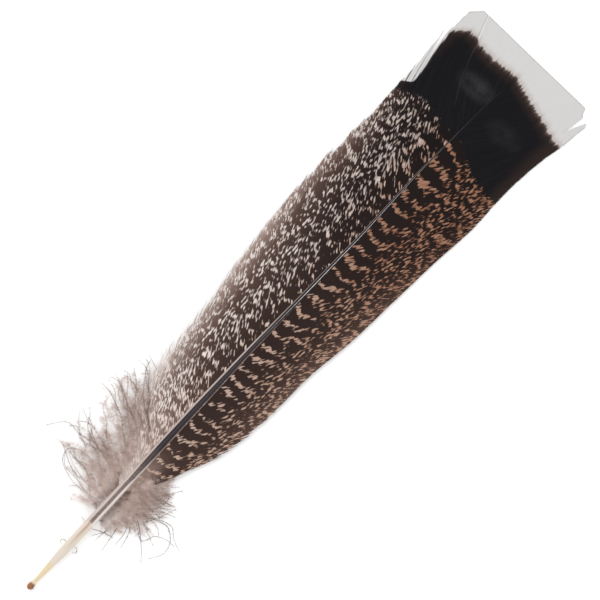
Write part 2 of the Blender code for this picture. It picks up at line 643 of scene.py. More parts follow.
class SocketKind(Enum):
    """Kinds of sockets on a node group."""

    NUMBER = "NodeSocketFloat"
    VECTOR = "NodeSocketVector"
    COLOUR = "NodeSocketColor"


Sockets = dict[str, SocketKind]


def numbers(*names: str) -> Sockets:
    """Sockets for numbers."""
    return dict.fromkeys(names, SocketKind.NUMBER)


class GroupBuilder:
    """Starts a node group and names what goes in and out of it."""

    def __init__(self, name: str, inputs: Sockets, outputs: Sockets) -> None:
        """Makes the group.

        Args:
            name: The group's name.
            inputs: Its inputs.
            outputs: Its outputs.
        """
        self.tree = bpy.data.node_groups.new(name, "ShaderNodeTree")
        for way, sockets in (("INPUT", inputs), ("OUTPUT", outputs)):
            for title, kind in sockets.items():
                self.tree.interface.new_socket(title, in_out=way, socket_type=kind.value)
        self.graph = Graph(self.tree)
        self.source = self.graph.node("NodeGroupInput")
        self.sink = self.graph.node("NodeGroupOutput")

    def take(self, name: str) -> Signal:
        """The signal of an input."""
        return Signal(self.graph, self.source.outputs[name])

    def give(self, **values: Value) -> bpy.types.NodeTree:
        """Sends signals to the outputs and gives the finished group."""
        self.graph.fill(self.sink, **values)
        return self.tree


FIBRE_INPUTS = {"Plan": SocketKind.VECTOR, "Lie": SocketKind.VECTOR}


class JaggedMarks:
    """The group that draws light bars beside the shaft and strokes further out, all along the barbs."""

    def __init__(self) -> None:
        """Starts the group, with each barb's markings a little ahead of or behind the next one's."""
        self.box = GroupBuilder(
            "jagged_marks",
            FIBRE_INPUTS
            | numbers("Period", "Slope", "Hook", "Bar Reach", "Bar Level", "Stroke Level")
            | numbers("Stroke Length", "Chain", "Clearing", "Plain"),
            numbers("Mark", "Scatter"),
        )
        self.graph = self.box.graph
        at = Place.split(self.graph, self.box.take("Plan"), self.box.take("Lie"))
        station = at.station + self.graph.noise(at.root * 2.0, at.arc * 0.16, 3.0) * 0.45
        self.at = replace(at, station=station)
        self.wander = self.graph.noise(at.out * 0.10, station * 0.075, 7.0)

    def drawn_out(self, degrees: float, pitch: float, length: Value, seed: float) -> Signal:
        """Noise drawn out in one direction.

        Args:
            degrees: Angle between the direction and the shaft.
            pitch: Distance from streak to streak.
            length: Length of a streak.
            seed: What sets it apart from other noise.

        Returns:
            The noise.
        """
        lean = math.radians(degrees)
        across = self.at.out * math.cos(lean) - self.at.station * math.sin(lean)
        along = self.at.out * math.sin(lean) + self.at.station * math.cos(lean)
        return self.graph.noise(across / pitch, along / length, seed, 0.0)

    def strokes(self) -> Signal:
        """Strokes that turn with the barbs on their way out, and finer ones at the edge."""
        graph, out = self.graph, self.at.out
        length = self.box.take("Stroke Length")
        inner = self.drawn_out(38.0, 0.8, length, 5.0)
        middle = self.drawn_out(29.0, 0.8, length, 15.0)
        stroke = graph.blend(out.rise(5.0, 7.5), inner, middle)
        stroke = graph.blend(out.rise(13.0, 16.0), stroke, self.drawn_out(19.0, 0.8, length * 0.8, 25.0))
        fine = graph.math("MAXIMUM", self.box.take("Plain"), self.at.inset.fall(3.0, 11.0) * 0.8)
        return graph.blend(fine, stroke, self.drawn_out(34.0, 0.5, 2.8, 35.0)) + fine * 0.1

    def bars(self) -> Signal:
        """A wave along the feather: sloped, hooked beside the shaft, and wandering further out."""
        graph, station, out = self.graph, self.at.station, self.at.out
        hook = (graph.noise(station * 0.11, 41.0) + 0.35).rise(0.0, 0.7) * self.box.take("Hook")
        hook = hook * (1.0 - station.rise(190.0, 235.0) * 0.7)
        bend = out * self.box.take("Slope") + out * out * 0.007 + out.fall(0.0, 5.0) * hook
        loose = (out - 3.0).rise(0.0, 14.0) * 4.5 + 2.6
        ripple = graph.noise(out * 0.35, station * 0.2, 17.0) * out.rise(1.0, 4.0) * 1.7
        ahead = station - 220.0
        squeeze = ahead * ahead * 0.00097
        phase = (station - bend - squeeze + self.wander * loose + ripple) / self.box.take("Period")
        return graph.math("COSINE", phase * (2 * math.pi))

    def build(self) -> bpy.types.NodeTree:
        """Adds up bars, strokes and the clouds in which they gather, and gives the group."""
        graph, at, take = self.graph, self.at, self.box.take
        plain, reach = take("Plain"), take("Bar Reach")
        calm = 1.0 - plain * 0.75
        outer = graph.math("MAXIMUM", (at.out + self.wander * 4.0).rise(reach - 5.0, reach + 5.0), plain)
        clearing = at.out.fall(4.0, 13.0) * take("Clearing")
        splinter = graph.noise(at.root * 1.7, at.arc * 0.3, 51.0, 0.0) * at.out.fall(8.0, 16.0) * 0.4
        value = self.bars() * graph.blend(outer, 1.0, clearing * 0.5 + 0.12)
        value = value + self.strokes() * graph.blend(outer, 0.9, 1.0) + splinter
        cloud = graph.noise(at.out * 0.26, at.station * 0.2, 11.0)
        chain = 0.3 - graph.noise(at.out * 0.17, at.station * 0.12, 31.0).size()
        value = value + (cloud * (clearing * 1.2 + 0.42) + chain * take("Chain") * outer) * calm
        crest = (at.out + self.wander * 6.0 - 11.5).size().fall(0.0, 5.0)
        value = value + crest * take("Clearing") * calm * 0.5
        value = value - graph.blend(outer, take("Bar Level"), take("Stroke Level")) + plain * 0.12
        value = value - clearing * (1.0 - plain)
        scatter = graph.noise(at.root * 0.9, at.arc * 0.08, at.chance * 9.0)
        return self.box.give(Mark=value.rise(-0.12, 0.38), Scatter=scatter)


@dataclass(frozen=True)
class Effects:
    """The node groups that the finishes share."""

    marks: bpy.types.NodeTree
    bands: bpy.types.NodeTree
    grain: bpy.types.NodeTree

    @classmethod
    def make(cls) -> "Effects":
        """Builds each group once."""
        return cls(marks=JaggedMarks().build(), bands=cls.build_bands(), grain=cls.build_grain())

    @staticmethod
    def build_bands() -> bpy.types.NodeTree:
        """A step across the web at a given station, ragged from barb to barb."""
        inputs = FIBRE_INPUTS | numbers("Border", "Ragged", "Softness")
        box = GroupBuilder("ragged_step", inputs, numbers("Beyond"))
        graph = box.graph
        at = Place.split(graph, box.take("Plan"), box.take("Lie"))
        coarse = graph.noise(at.out * 0.26, at.chance * 0.1, 2.0)
        middle = graph.noise(at.out * 0.9, at.chance * 0.2, 6.0)
        fine = graph.noise(at.root * 1.1, at.chance * 0.6, 9.0, 2.0)
        ragged = (coarse + middle * 0.8 + fine * 0.7) * box.take("Ragged")
        soft = box.take("Softness")
        return box.give(Beyond=(at.station - box.take("Border") + ragged).rise(soft * -0.5, soft * 0.5))

    @staticmethod
    def build_grain() -> bpy.types.NodeTree:
        """Fine streaks along fibres, which lighten and darken a colour."""
        colour = {"Colour": SocketKind.COLOUR}
        inputs = colour | {"Lie": SocketKind.VECTOR} | numbers("Across", "Along", "Strength")
        box = GroupBuilder("fibre_grain", inputs, colour | numbers("Streak"))
        graph = box.graph
        root, arc, chance = graph.split(box.take("Lie"))
        streak = graph.noise(root * box.take("Across"), arc * box.take("Along"), chance * 2.0, 2.0)
        gain = streak * box.take("Strength") + 1.0
        lit = graph.through(
            "ShaderNodeVectorMath", {0: box.take("Colour"), "Scale": gain}, operation="SCALE"
        )
        return box.give(Colour=lit, Streak=streak)


# ---------------------------------------------------------------- finishes


class Paint:
    """A new material, with its graph and its shader."""

    def __init__(self, name: str, **values: Value) -> None:
        """Starts the material.

        Args:
            name: Its name.
            values: What the shader's sockets take, by name, with spaces as underscores.
        """
        self.material = bpy.data.materials.new(name)
        self.material.use_nodes = True
        self.graph = Graph(self.material.node_tree)
        self.shader = self.material.node_tree.nodes["Principled BSDF"]
        self.graph.fill(self.shader, Metallic=0.0, **values)

    def colour_fibres(
        self, effects: Effects, colour: Signal, lie: Signal, across: float, along: float, strength: Value
    ) -> Signal:
        """Gives the material a colour, streaked along the fibres.

        Args:
            effects: The shared node groups.
            colour: The colour.
            lie: The "lie" of the mesh.
            across: How closely streaks follow each other.
            along: How fast they change along a fibre.
            strength: How strong they are.

        Returns:
            The streaks.
        """
        streaked, streak = self.graph.use(
            effects.grain, Colour=colour, Lie=lie, Across=across, Along=along, Strength=strength
        )
        self.graph.fill(self.shader, Base_Color=streaked)
        return streak


@dataclass(frozen=True)
class WebFinish:
    """Barred and mottled web, with a black band and a pale tip.

    Attributes:
        name: The material's name.
        pale_border: Station where the pale tip begins, over "out".
        black_border: Station where the black band begins, over "out".
        dark_level: Lightness of the dark web, over station.
        edge_level: How much lighter the dark web is at the outer edge, over station.
        mark_level: Lightness of the marks, over station.
        mark_hues: The marks' colours at lightness 0 and 1, beside the shaft.
        outer_hues: The same further out.
        slope: How much the bars rise for each millimetre outward, over station.
        hook: How far the bars drop beside the shaft.
        bar_level: How scarce the bars are, over station.
        bar_reach: How far out the bars stay whole.
        stroke_level: How scarce the strokes are, over station.
        clearing: How much scarcer and more clustered the strokes are beside the shaft.
        chain: How much the strokes gather in chains.
        plain: Stations over which the strokes of the downy base give way to bars.
        rim: Distance from the shaft at which the black band turns brown.
        painted_gleam: (station, out, strength) of the middle of the painted sheen on the black band.
        pale_rim: Width of the pale strip along the outer edge, over station.
        crease: Root station of the barb along which the web is creased, if it is; the crease is drawn with a
            painted highlight line and painted shade.
        period: Distance from bar to bar.
        stroke_length: Length of a stroke.
        edge_fade: How far in from the outer edge the web is lighter.
        base_contrast: How strongly the marks show at the downy base.
        edge_glow: How much lighter the marks are at the outer edge.
        haze: How much lighter the dark web is beside the shaft where it turns to down.
    """

    name: str
    pale_border: Points
    black_border: Points
    dark_level: Points
    edge_level: Points
    mark_level: Points
    mark_hues: tuple[Colour, Colour]
    outer_hues: tuple[Colour, Colour]
    slope: Points
    hook: float
    bar_level: Points
    bar_reach: float
    stroke_level: Points
    clearing: float
    chain: float
    plain: tuple[float, float]
    rim: float
    painted_gleam: tuple[float, float, float]
    pale_rim: Points
    crease: float | None = None
    period: float = 8.2
    stroke_length: float = 3.0
    edge_fade: float = 8.0
    base_contrast: float = 1.0
    edge_glow: float = 0.15
    haze: float = 0.0
    fringe: Colour = srgb(46, 36, 32)
    black: Colour = srgb(18, 17, 20)
    black_lit: Colour = srgb(27, 25, 28)
    lip: Colour = srgb(86, 71, 66)
    near_pale: Colour = srgb(186, 178, 173)
    pale: Colour = srgb(206, 204, 203)
    outline: Colour = srgb(176, 173, 172)
    fleck: Colour = srgb(150, 118, 106)
    # painted highlight: colour of the painted sheen on the black band
    painted_sheen: Colour = srgb(84, 84, 88)
    # painted highlight lines and painted shade of the crease
    crease_painted_highlight: Colour = srgb(236, 234, 232)
    crease_painted_shade: Colour = srgb(186, 182, 180)
    crease_painted_highlight_black: Colour = srgb(74, 72, 74)

    def make(self, effects: Effects) -> bpy.types.Material:
        """Builds the material.

        Args:
            effects: The shared node groups.

        Returns:
            The material.
        """
        paint = Paint(self.name, Roughness=0.6, Specular_IOR_Level=0.06)
        graph = paint.graph
        at = Place.read(graph)
        mark, scatter = self.find_marks(effects, at)
        pale_line = graph.curve(at.out, self.pale_border, 280.0, 330.0)

        def beyond(border: Signal, ragged: float, softness: float) -> Signal:
            """1 past a border across the web."""
            place = dict(Plan=at.plan, Lie=at.lie, Border=border)
            return graph.use(effects.bands, Ragged=ragged, Softness=softness, **place)[0]

        in_black = beyond(graph.curve(at.out, self.black_border, 250.0, 330.0), 1.3, 1.6)
        in_pale = beyond(pale_line, 1.1, 1.2)
        at_rim = (at.out + scatter).rise(self.rim - 8.0, self.rim)
        brown = graph.math("MAXIMUM", beyond(pale_line - 3.4, 0.9, 6.0), at_rim)
        band = graph.mix(brown, self.black_band(at), self.fringe)
        band = graph.mix(beyond(pale_line - 1.0, 1.1, 2.4), band, self.lip)
        colour = graph.mix(in_black, self.mottled(at, mark, scatter), band)

        pale = graph.mix(beyond(pale_line + 1.7, 1.1, 4.0), self.near_pale, self.pale)
        pale = graph.mix(at.inset.fall(0.15, 0.45), pale, self.outline)
        speck = graph.noise(at.root * 1.6, at.arc * 0.5, 77.0).rise(0.62, 0.75)
        speck = speck * (at.station - pale_line).fall(0.5, 3.0)
        colour = graph.mix(in_pale, colour, graph.mix(speck * 0.75, pale, self.fleck))
        strip = graph.curve(at.station, self.pale_rim, 0.0, 8.0) - at.inset + scatter * 0.5
        kept_dark = graph.noise(at.root * 0.35, 4.0).rise(0.1, 0.3) * at.station.fall(299.0, 306.0)
        colour = graph.mix(strip.rise(0.0, 0.6) * (1.0 - kept_dark * 0.9), colour, self.pale)
        if self.crease is not None:
            colour = self.creased(at, colour, scatter, in_black, in_pale)
        paint.colour_fibres(effects, colour, at.lie, 1.8, 0.12, graph.blend(in_pale, 0.07, 0.025))
        return paint.material

    def find_marks(self, effects: Effects, at: Place) -> list[Signal]:
        """Places the light marks.

        Args:
            effects: The shared node groups.
            at: Where the point lies.

        Returns:
            How far the point is in a mark, and a random number that changes from barb to barb.
        """
        graph = at.graph
        return graph.use(
            effects.marks,
            Plan=at.plan,
            Lie=at.lie,
            Period=self.period,
            Slope=graph.curve(at.station, self.slope, -0.5, 0.5),
            Hook=self.hook,
            Bar_Reach=self.bar_reach,
            Bar_Level=graph.curve(at.station, self.bar_level, 0.0, 1.5),
            Stroke_Level=graph.curve(at.station, self.stroke_level),
            Stroke_Length=self.stroke_length,
            Chain=self.chain,
            Clearing=self.clearing,
            Plain=at.station.fall(*self.plain),
        )

    def mottled(self, at: Place, mark: Signal, scatter: Signal) -> Signal:
        """Colours the web below the black band.

        Args:
            at: Where the point lies.
            mark: How far it is in a mark.
            scatter: Random number that changes from barb to barb.

        Returns:
            The colour.
        """
        graph = at.graph
        near_edge = graph.math("EXPONENT", (at.inset + scatter * 1.5) * (-1.0 / self.edge_fade))
        uneven = at.station + scatter * 4.0
        level = graph.curve(uneven, self.dark_level)
        level = level + graph.curve(at.station, self.edge_level) * near_edge
        near_down = (at.out + scatter * 2.0).fall(4.0, 13.0) * at.station.fall(70.0, 96.0)
        dark = graph.ramp(level + near_down * self.haze, WEB_TONES)
        glow = graph.noise(at.root * 0.55, at.arc * 0.25, 91.0) * 0.45 + (mark - 0.6) * 0.35
        bright = graph.curve(uneven, self.mark_level) + near_edge * self.edge_glow + glow
        hues = [graph.mix(bright, *pair) for pair in (self.mark_hues, self.outer_hues)]
        light = graph.mix((at.out + scatter * 3.0).rise(4.0, 15.0), *hues)
        contrast = graph.blend(at.station.rise(75.0, 120.0), self.base_contrast, 1.0)
        return graph.mix(mark * contrast, dark, light)

    def black_band(self, at: Place) -> Signal:
        """Colours the black band, a little lighter on some barbs, with a painted sheen that breaks up from
        barb to barb.

        Args:
            at: Where the point lies.

        Returns:
            The colour.
        """
        graph = at.graph
        where, across, strength = self.painted_gleam
        away = [(at.station - where) * 0.19, (at.out - across) * 0.105]
        spread = away[0] * away[0] + away[1] * away[1]
        speckle = (
            graph.noise(at.out * 2.2, at.station * 2.2, 4.0) * 0.5
            + graph.noise(at.root * 0.9, at.arc * 0.12) * 0.3
            + graph.noise(at.out * 0.2, at.station * 0.3) * 0.4
        )
        # Painted sheen: a soft patch of painted highlight on the black band, broken up from barb to barb.
        painted_gleam = (spread + speckle * 0.4).fall(0.0, 1.7) * (speckle + 0.7).rise(0.0, 1.4) * strength
        barb_tone = graph.noise(at.root * 1.3, at.arc * 0.05, at.chance * 2.0).rise(-0.2, 1.0)
        return graph.mix(painted_gleam, graph.mix(barb_tone, self.black, self.black_lit), self.painted_sheen)

    def creased(
        self, at: Place, colour: Signal, scatter: Signal, in_black: Signal, in_pale: Signal
    ) -> Signal:
        """Draws a crease along one barb in painted light: a highlight line, near white in the pale tip and
        grey on the black band, and painted shade on its outer side in the pale tip.

        Args:
            at: Where the point lies.
            colour: The web's colour.
            scatter: Random number that changes from barb to barb.
            in_black: 1 past the black band's border.
            in_pale: 1 past the pale tip's border.

        Returns:
            The colour.
        """
        graph = at.graph
        beside = at.root - self.crease + graph.noise(at.arc * 0.3, 1.0) * 0.1
        outward = at.out.rise(8.0, 14.0)
        # Painted shade on the outer side of the crease, in the pale tip.
        painted_shade = (beside + 3.5).rise(0.0, 3.5) * beside.fall(0.0, 0.1) * outward
        colour = graph.mix(painted_shade * in_pale * 0.7, colour, self.crease_painted_shade)
        # Painted highlight line along the crease, faint and uneven on the black band.
        line = beside.size().fall(0.05, 0.4) * outward * in_black
        faint = graph.blend(in_pale, scatter * 0.25 + 0.3, 1.0)
        return graph.mix(line * faint, colour, graph.mix(in_pale, self.crease_painted_highlight_black, self.crease_painted_highlight))


@dataclass(frozen=True)
class DownFinish:
    """Soft taupe down with some white barbs and browner strands, told by the barbs' random numbers, and dark
    streaks of painted shade between barbs.
    """

    name: str = "taupe_down"
    foot: Colour = srgb(224, 202, 192)
    end: Colour = srgb(200, 176, 166)
    # painted shade: colour of the dark streaks that stand for shade between the barbs
    painted_shade: Colour = srgb(176, 153, 143)
    white: Colour = srgb(232, 222, 217)
    strand: Colour = srgb(132, 110, 101)
    lone_left: Colour = srgb(142, 122, 113)
    lone_right: Colour = srgb(106, 88, 81)

    def make(self, effects: Effects) -> bpy.types.Material:
        """Builds the material.

        Args:
            effects: The shared node groups.

        Returns:
            The material.
        """
        paint = Paint(self.name, Roughness=0.85, Specular_IOR_Level=0.15)
        graph = paint.graph
        at = Place.read(graph)
        colour = graph.mix(at.out.rise(6.0, 28.0), self.foot, self.end)
        streak = graph.noise(at.station * 1.1 - at.out * 0.35, at.out * 0.22, 7.0)
        # Painted shade: dark streaks along the barbs' flow stand for shade between them; light streaks lean
        # to white.
        colour = graph.mix(streak.rise(-0.5, 0.1), self.painted_shade, colour)
        colour = graph.mix(streak.rise(0.1, 0.6) * 0.8, colour, self.white)
        pale = at.chance + graph.noise(at.out * 0.2, at.station * 0.2) * 0.35
        pale = pale + at.station.fall(44.0, 58.0) * (1.3 - at.out.rise(4.0, 14.0)) * 0.9
        colour = graph.mix(pale.rise(0.55, 1.1), colour, self.white)
        straying = at.chance.fall(LOOSE + 0.3, LOOSE + 0.4) * at.arc.rise(9.0, 25.0)
        colour = graph.mix(straying, colour, self.strand)
        lone = graph.mix(at.inset.rise(-3.0, 3.0), self.lone_left, self.lone_right)
        colour = graph.mix(at.chance.fall(LONE + 0.05, LONE + 0.15), colour, lone)
        paint.colour_fibres(effects, colour, at.lie, 2.0, 0.3, 0.22)
        return paint.material


@dataclass(frozen=True)
class HornPlace:
    """Where a point of the shaft lies, as signals of a graph.

    Attributes:
        graph: The graph.
        across: How far it is to the right, as a share of the shaft's radius.
        station: Its station.
        blotch: Coarse noise.
        spots: Fine noise.
        upper: 1 above the hollow part of the shaft.
        thin: 1 along the thin end.
        topside: 1 on the upper side.
    """

    graph: Graph
    across: Signal
    station: Signal
    blotch: Signal
    spots: Signal
    upper: Signal
    thin: Signal
    topside: Signal

    @classmethod
    def read(cls, graph: Graph) -> "HornPlace":
        """Reads the place from the mesh."""
        across, station, crown = graph.split(graph.attribute("plan"))
        blotch = graph.noise(station * 0.16, across * 0.8, 2.0, 2.0)
        return cls(
            graph=graph,
            across=across,
            station=station,
            blotch=blotch,
            spots=graph.noise(station * 0.9, across * 0.7, 6.0),
            upper=(station + blotch * 6.0).rise(58.0, 90.0),
            thin=station.rise(145.0, 190.0),
            topside=crown.rise(-0.3, 0.1),
        )


@dataclass(frozen=True)
class HornFinish:
    """Glossy horn: a dark ridge with a painted glint along it and pale walls, clearing to cream and amber at
    the quill.

    Its "plan" is (across, station, crown), with across and crown as shares of the shaft's radius.
    """

    name: str = "glossy_horn"
    core: Colour = srgb(30, 26, 29)
    core_low: Colour = srgb(50, 44, 47)
    core_edge: Colour = srgb(24, 19, 21)
    core_edge_low: Colour = srgb(58, 46, 44)
    # painted highlights along the ridge: a bluish glint low down and a near-white one along the thin end
    painted_glint: Colour = srgb(84, 86, 95)
    bright: Colour = srgb(232, 230, 232)
    cloudy: Colour = srgb(138, 121, 117)
    left_wall: Colour = srgb(190, 173, 166)
    left_wall_thin: Colour = srgb(140, 121, 114)
    right_wall: Colour = srgb(138, 119, 112)
    right_wall_thin: Colour = srgb(54, 44, 44)
    clear_wall: Colour = srgb(232, 223, 216)
    cream: Colour = srgb(222, 211, 197)
    amber: Colour = srgb(228, 208, 170)
    pith: Colour = srgb(186, 152, 132)
    nub: Colour = srgb(150, 92, 52)
    nub_dark: Colour = srgb(88, 44, 26)

    def make(self, effects: Effects) -> bpy.types.Material:
        """Builds the material.

        Args:
            effects: The shared node groups.

        Returns:
            The material.
        """
        shine = dict(Specular_IOR_Level=0.1, Coat_Weight=0.03, Coat_Roughness=0.15)
        paint = Paint(self.name, Roughness=0.3, **shine)
        graph = paint.graph
        at = HornPlace.read(graph)
        in_core = self.in_core(at) * at.topside
        colour = graph.mix(in_core, self.wall_colour(at), self.core_colour(at))
        bubble = at.spots.rise(0.75, 1.0) * (1.0 - at.upper) * 0.7
        colour = graph.mix(bubble, colour, self.clear_wall)
        colour = graph.mix(at.station.rise(262.0, 290.0) * 0.65, colour, self.core)
        closed = (at.station + at.blotch * 0.4 + at.across * at.across * 2.0).rise(41.0, 42.4)
        colour = graph.mix(closed, self.quill_colour(at), colour)

        streak = paint.colour_fibres(effects, colour, graph.attribute("lie"), 1.3, 0.05, 0.07)
        grooves = {"Strength": 0.25, "Distance": 0.05 * MM, "Height": streak}
        graph.fill(paint.shader, Normal=graph.through("ShaderNodeBump", grooves))
        return paint.material

    def in_core(self, at: HornPlace) -> Signal:
        """1 inside the dark ridge, which narrows to the quill."""
        graph = at.graph
        left = graph.blend(at.upper, -0.34, graph.blend(at.thin, -0.56, -0.62))
        right = graph.blend(at.upper, 0.42, graph.blend(at.thin, 0.76, 0.84))
        soft = graph.blend(at.upper, 0.14, 0.06)
        return at.across.rise(left - soft, left + soft) * at.across.fall(right - soft, right + soft)

    def core_colour(self, at: HornPlace) -> Signal:
        """Colours the dark ridge, with a painted glint along its middle, bluish low down and near white along
        the thin end.

        Args:
            at: Where the point lies.

        Returns:
            The colour.
        """
        graph = at.graph
        streak = graph.noise(at.across * 3.0, at.station * 0.05, 5.0, 2.0)
        core = graph.mix(at.thin, self.core_low, self.core)
        edge = graph.mix(at.thin, self.core_edge_low, self.core_edge)
        core = graph.mix((at.across + streak * 0.2).rise(0.3, 0.6), core, edge)
        # Painted glint: a narrow highlight line along the ridge, speckled by noise.
        centre = (at.across - graph.blend(at.thin, 0.05, 0.28) + streak * 0.06).size()
        painted_glint = centre.fall(0.02, 0.16) * (graph.blend(at.thin, 0.42, 0.9) + at.spots * 0.5)
        core = graph.mix(painted_glint, core, graph.mix(at.thin, self.painted_glint, self.bright))
        cloud = graph.mix(at.spots.rise(-0.6, 0.9) * 0.5, self.cloudy, self.core_low)
        core = graph.mix(at.upper, cloud, core)
        return graph.mix(at.station.rise(225.0, 285.0) * 0.8, core, self.core)

    def wall_colour(self, at: HornPlace) -> Signal:
        """Colours the walls beside the ridge and below it.

        Args:
            at: Where the point lies.

        Returns:
            The colour.
        """
        graph = at.graph
        left = graph.mix(at.thin, self.left_wall, self.left_wall_thin)
        left = graph.mix(at.upper, graph.mix(0.35, self.left_wall, self.clear_wall), left)
        right = graph.mix(at.thin, self.right_wall, self.right_wall_thin)
        right = graph.mix(at.spots.rise(0.0, 0.8) * 0.4, right, self.clear_wall)
        right = graph.mix(at.upper, self.clear_wall, right)
        wall = graph.mix(at.across.rise(-0.1, 0.1), left, right)
        return graph.mix(at.thin * at.across.fall(-0.92, -0.82), wall, self.core)

    def quill_colour(self, at: HornPlace) -> Signal:
        """Colours the bare quill: cream with a line of pith, amber below, and the nub.

        Args:
            at: Where the point lies.

        Returns:
            The colour.
        """
        graph = at.graph
        amber = graph.mix(at.across.size().rise(0.55, 0.95) * 0.5, self.amber, self.cream)
        quill = graph.mix((at.station + at.across * 0.4).rise(15.2, 15.8), amber, self.cream)
        beside = (at.across + graph.noise(at.station * 0.2, 3.0) * 0.1).size()
        pith = beside.fall(0.05, 0.5) * at.station.rise(21.0, 40.0) * at.topside * 0.85
        quill = graph.mix(pith, quill, self.pith)
        nub = (at.station + at.blotch * 0.4).fall(2.8, 4.0)
        bead = graph.mix((at.blotch + at.across * 0.6).rise(-0.3, 0.6), self.nub, self.nub_dark)
        return graph.mix(nub * 0.9, quill, bead)


# ---------------------------------------------------------------- the vanes


@dataclass(frozen=True)
class Parting:
    """A place where neighbouring barbs have come unhooked: barbs beyond the apex swing apart.

    Attributes:
        station: Station of the apex.
        offset: Offset of the apex.
        outward: How far the outer barbs swing, at the rim.
        inward: How far the inner barbs swing.
        reach: How many millimetres of roots on each side are drawn along.
        lift: How far the inner barbs rise at the rim.
    """

    station: float
    offset: float
    outward: float
    inward: float
    reach: float
    lift: float = 0.0


@dataclass(frozen=True)
class Barb:
    """One barb of a vane, before its blade is made.

    Attributes:
        root: Station of its root.
        chance: Its random number.
        length: Its length to the edge or the trimmed tip.
        clump: How much longer its clump of barbs is.
        path: (offset, station) at each step along it as it grew.
        moved: The same after the partings.
        raised: Height shift along it.
        half: Half width along it.
    """

    root: float
    chance: float
    length: float
    clump: float
    path: np.ndarray
    moved: np.ndarray
    raised: np.ndarray
    half: np.ndarray


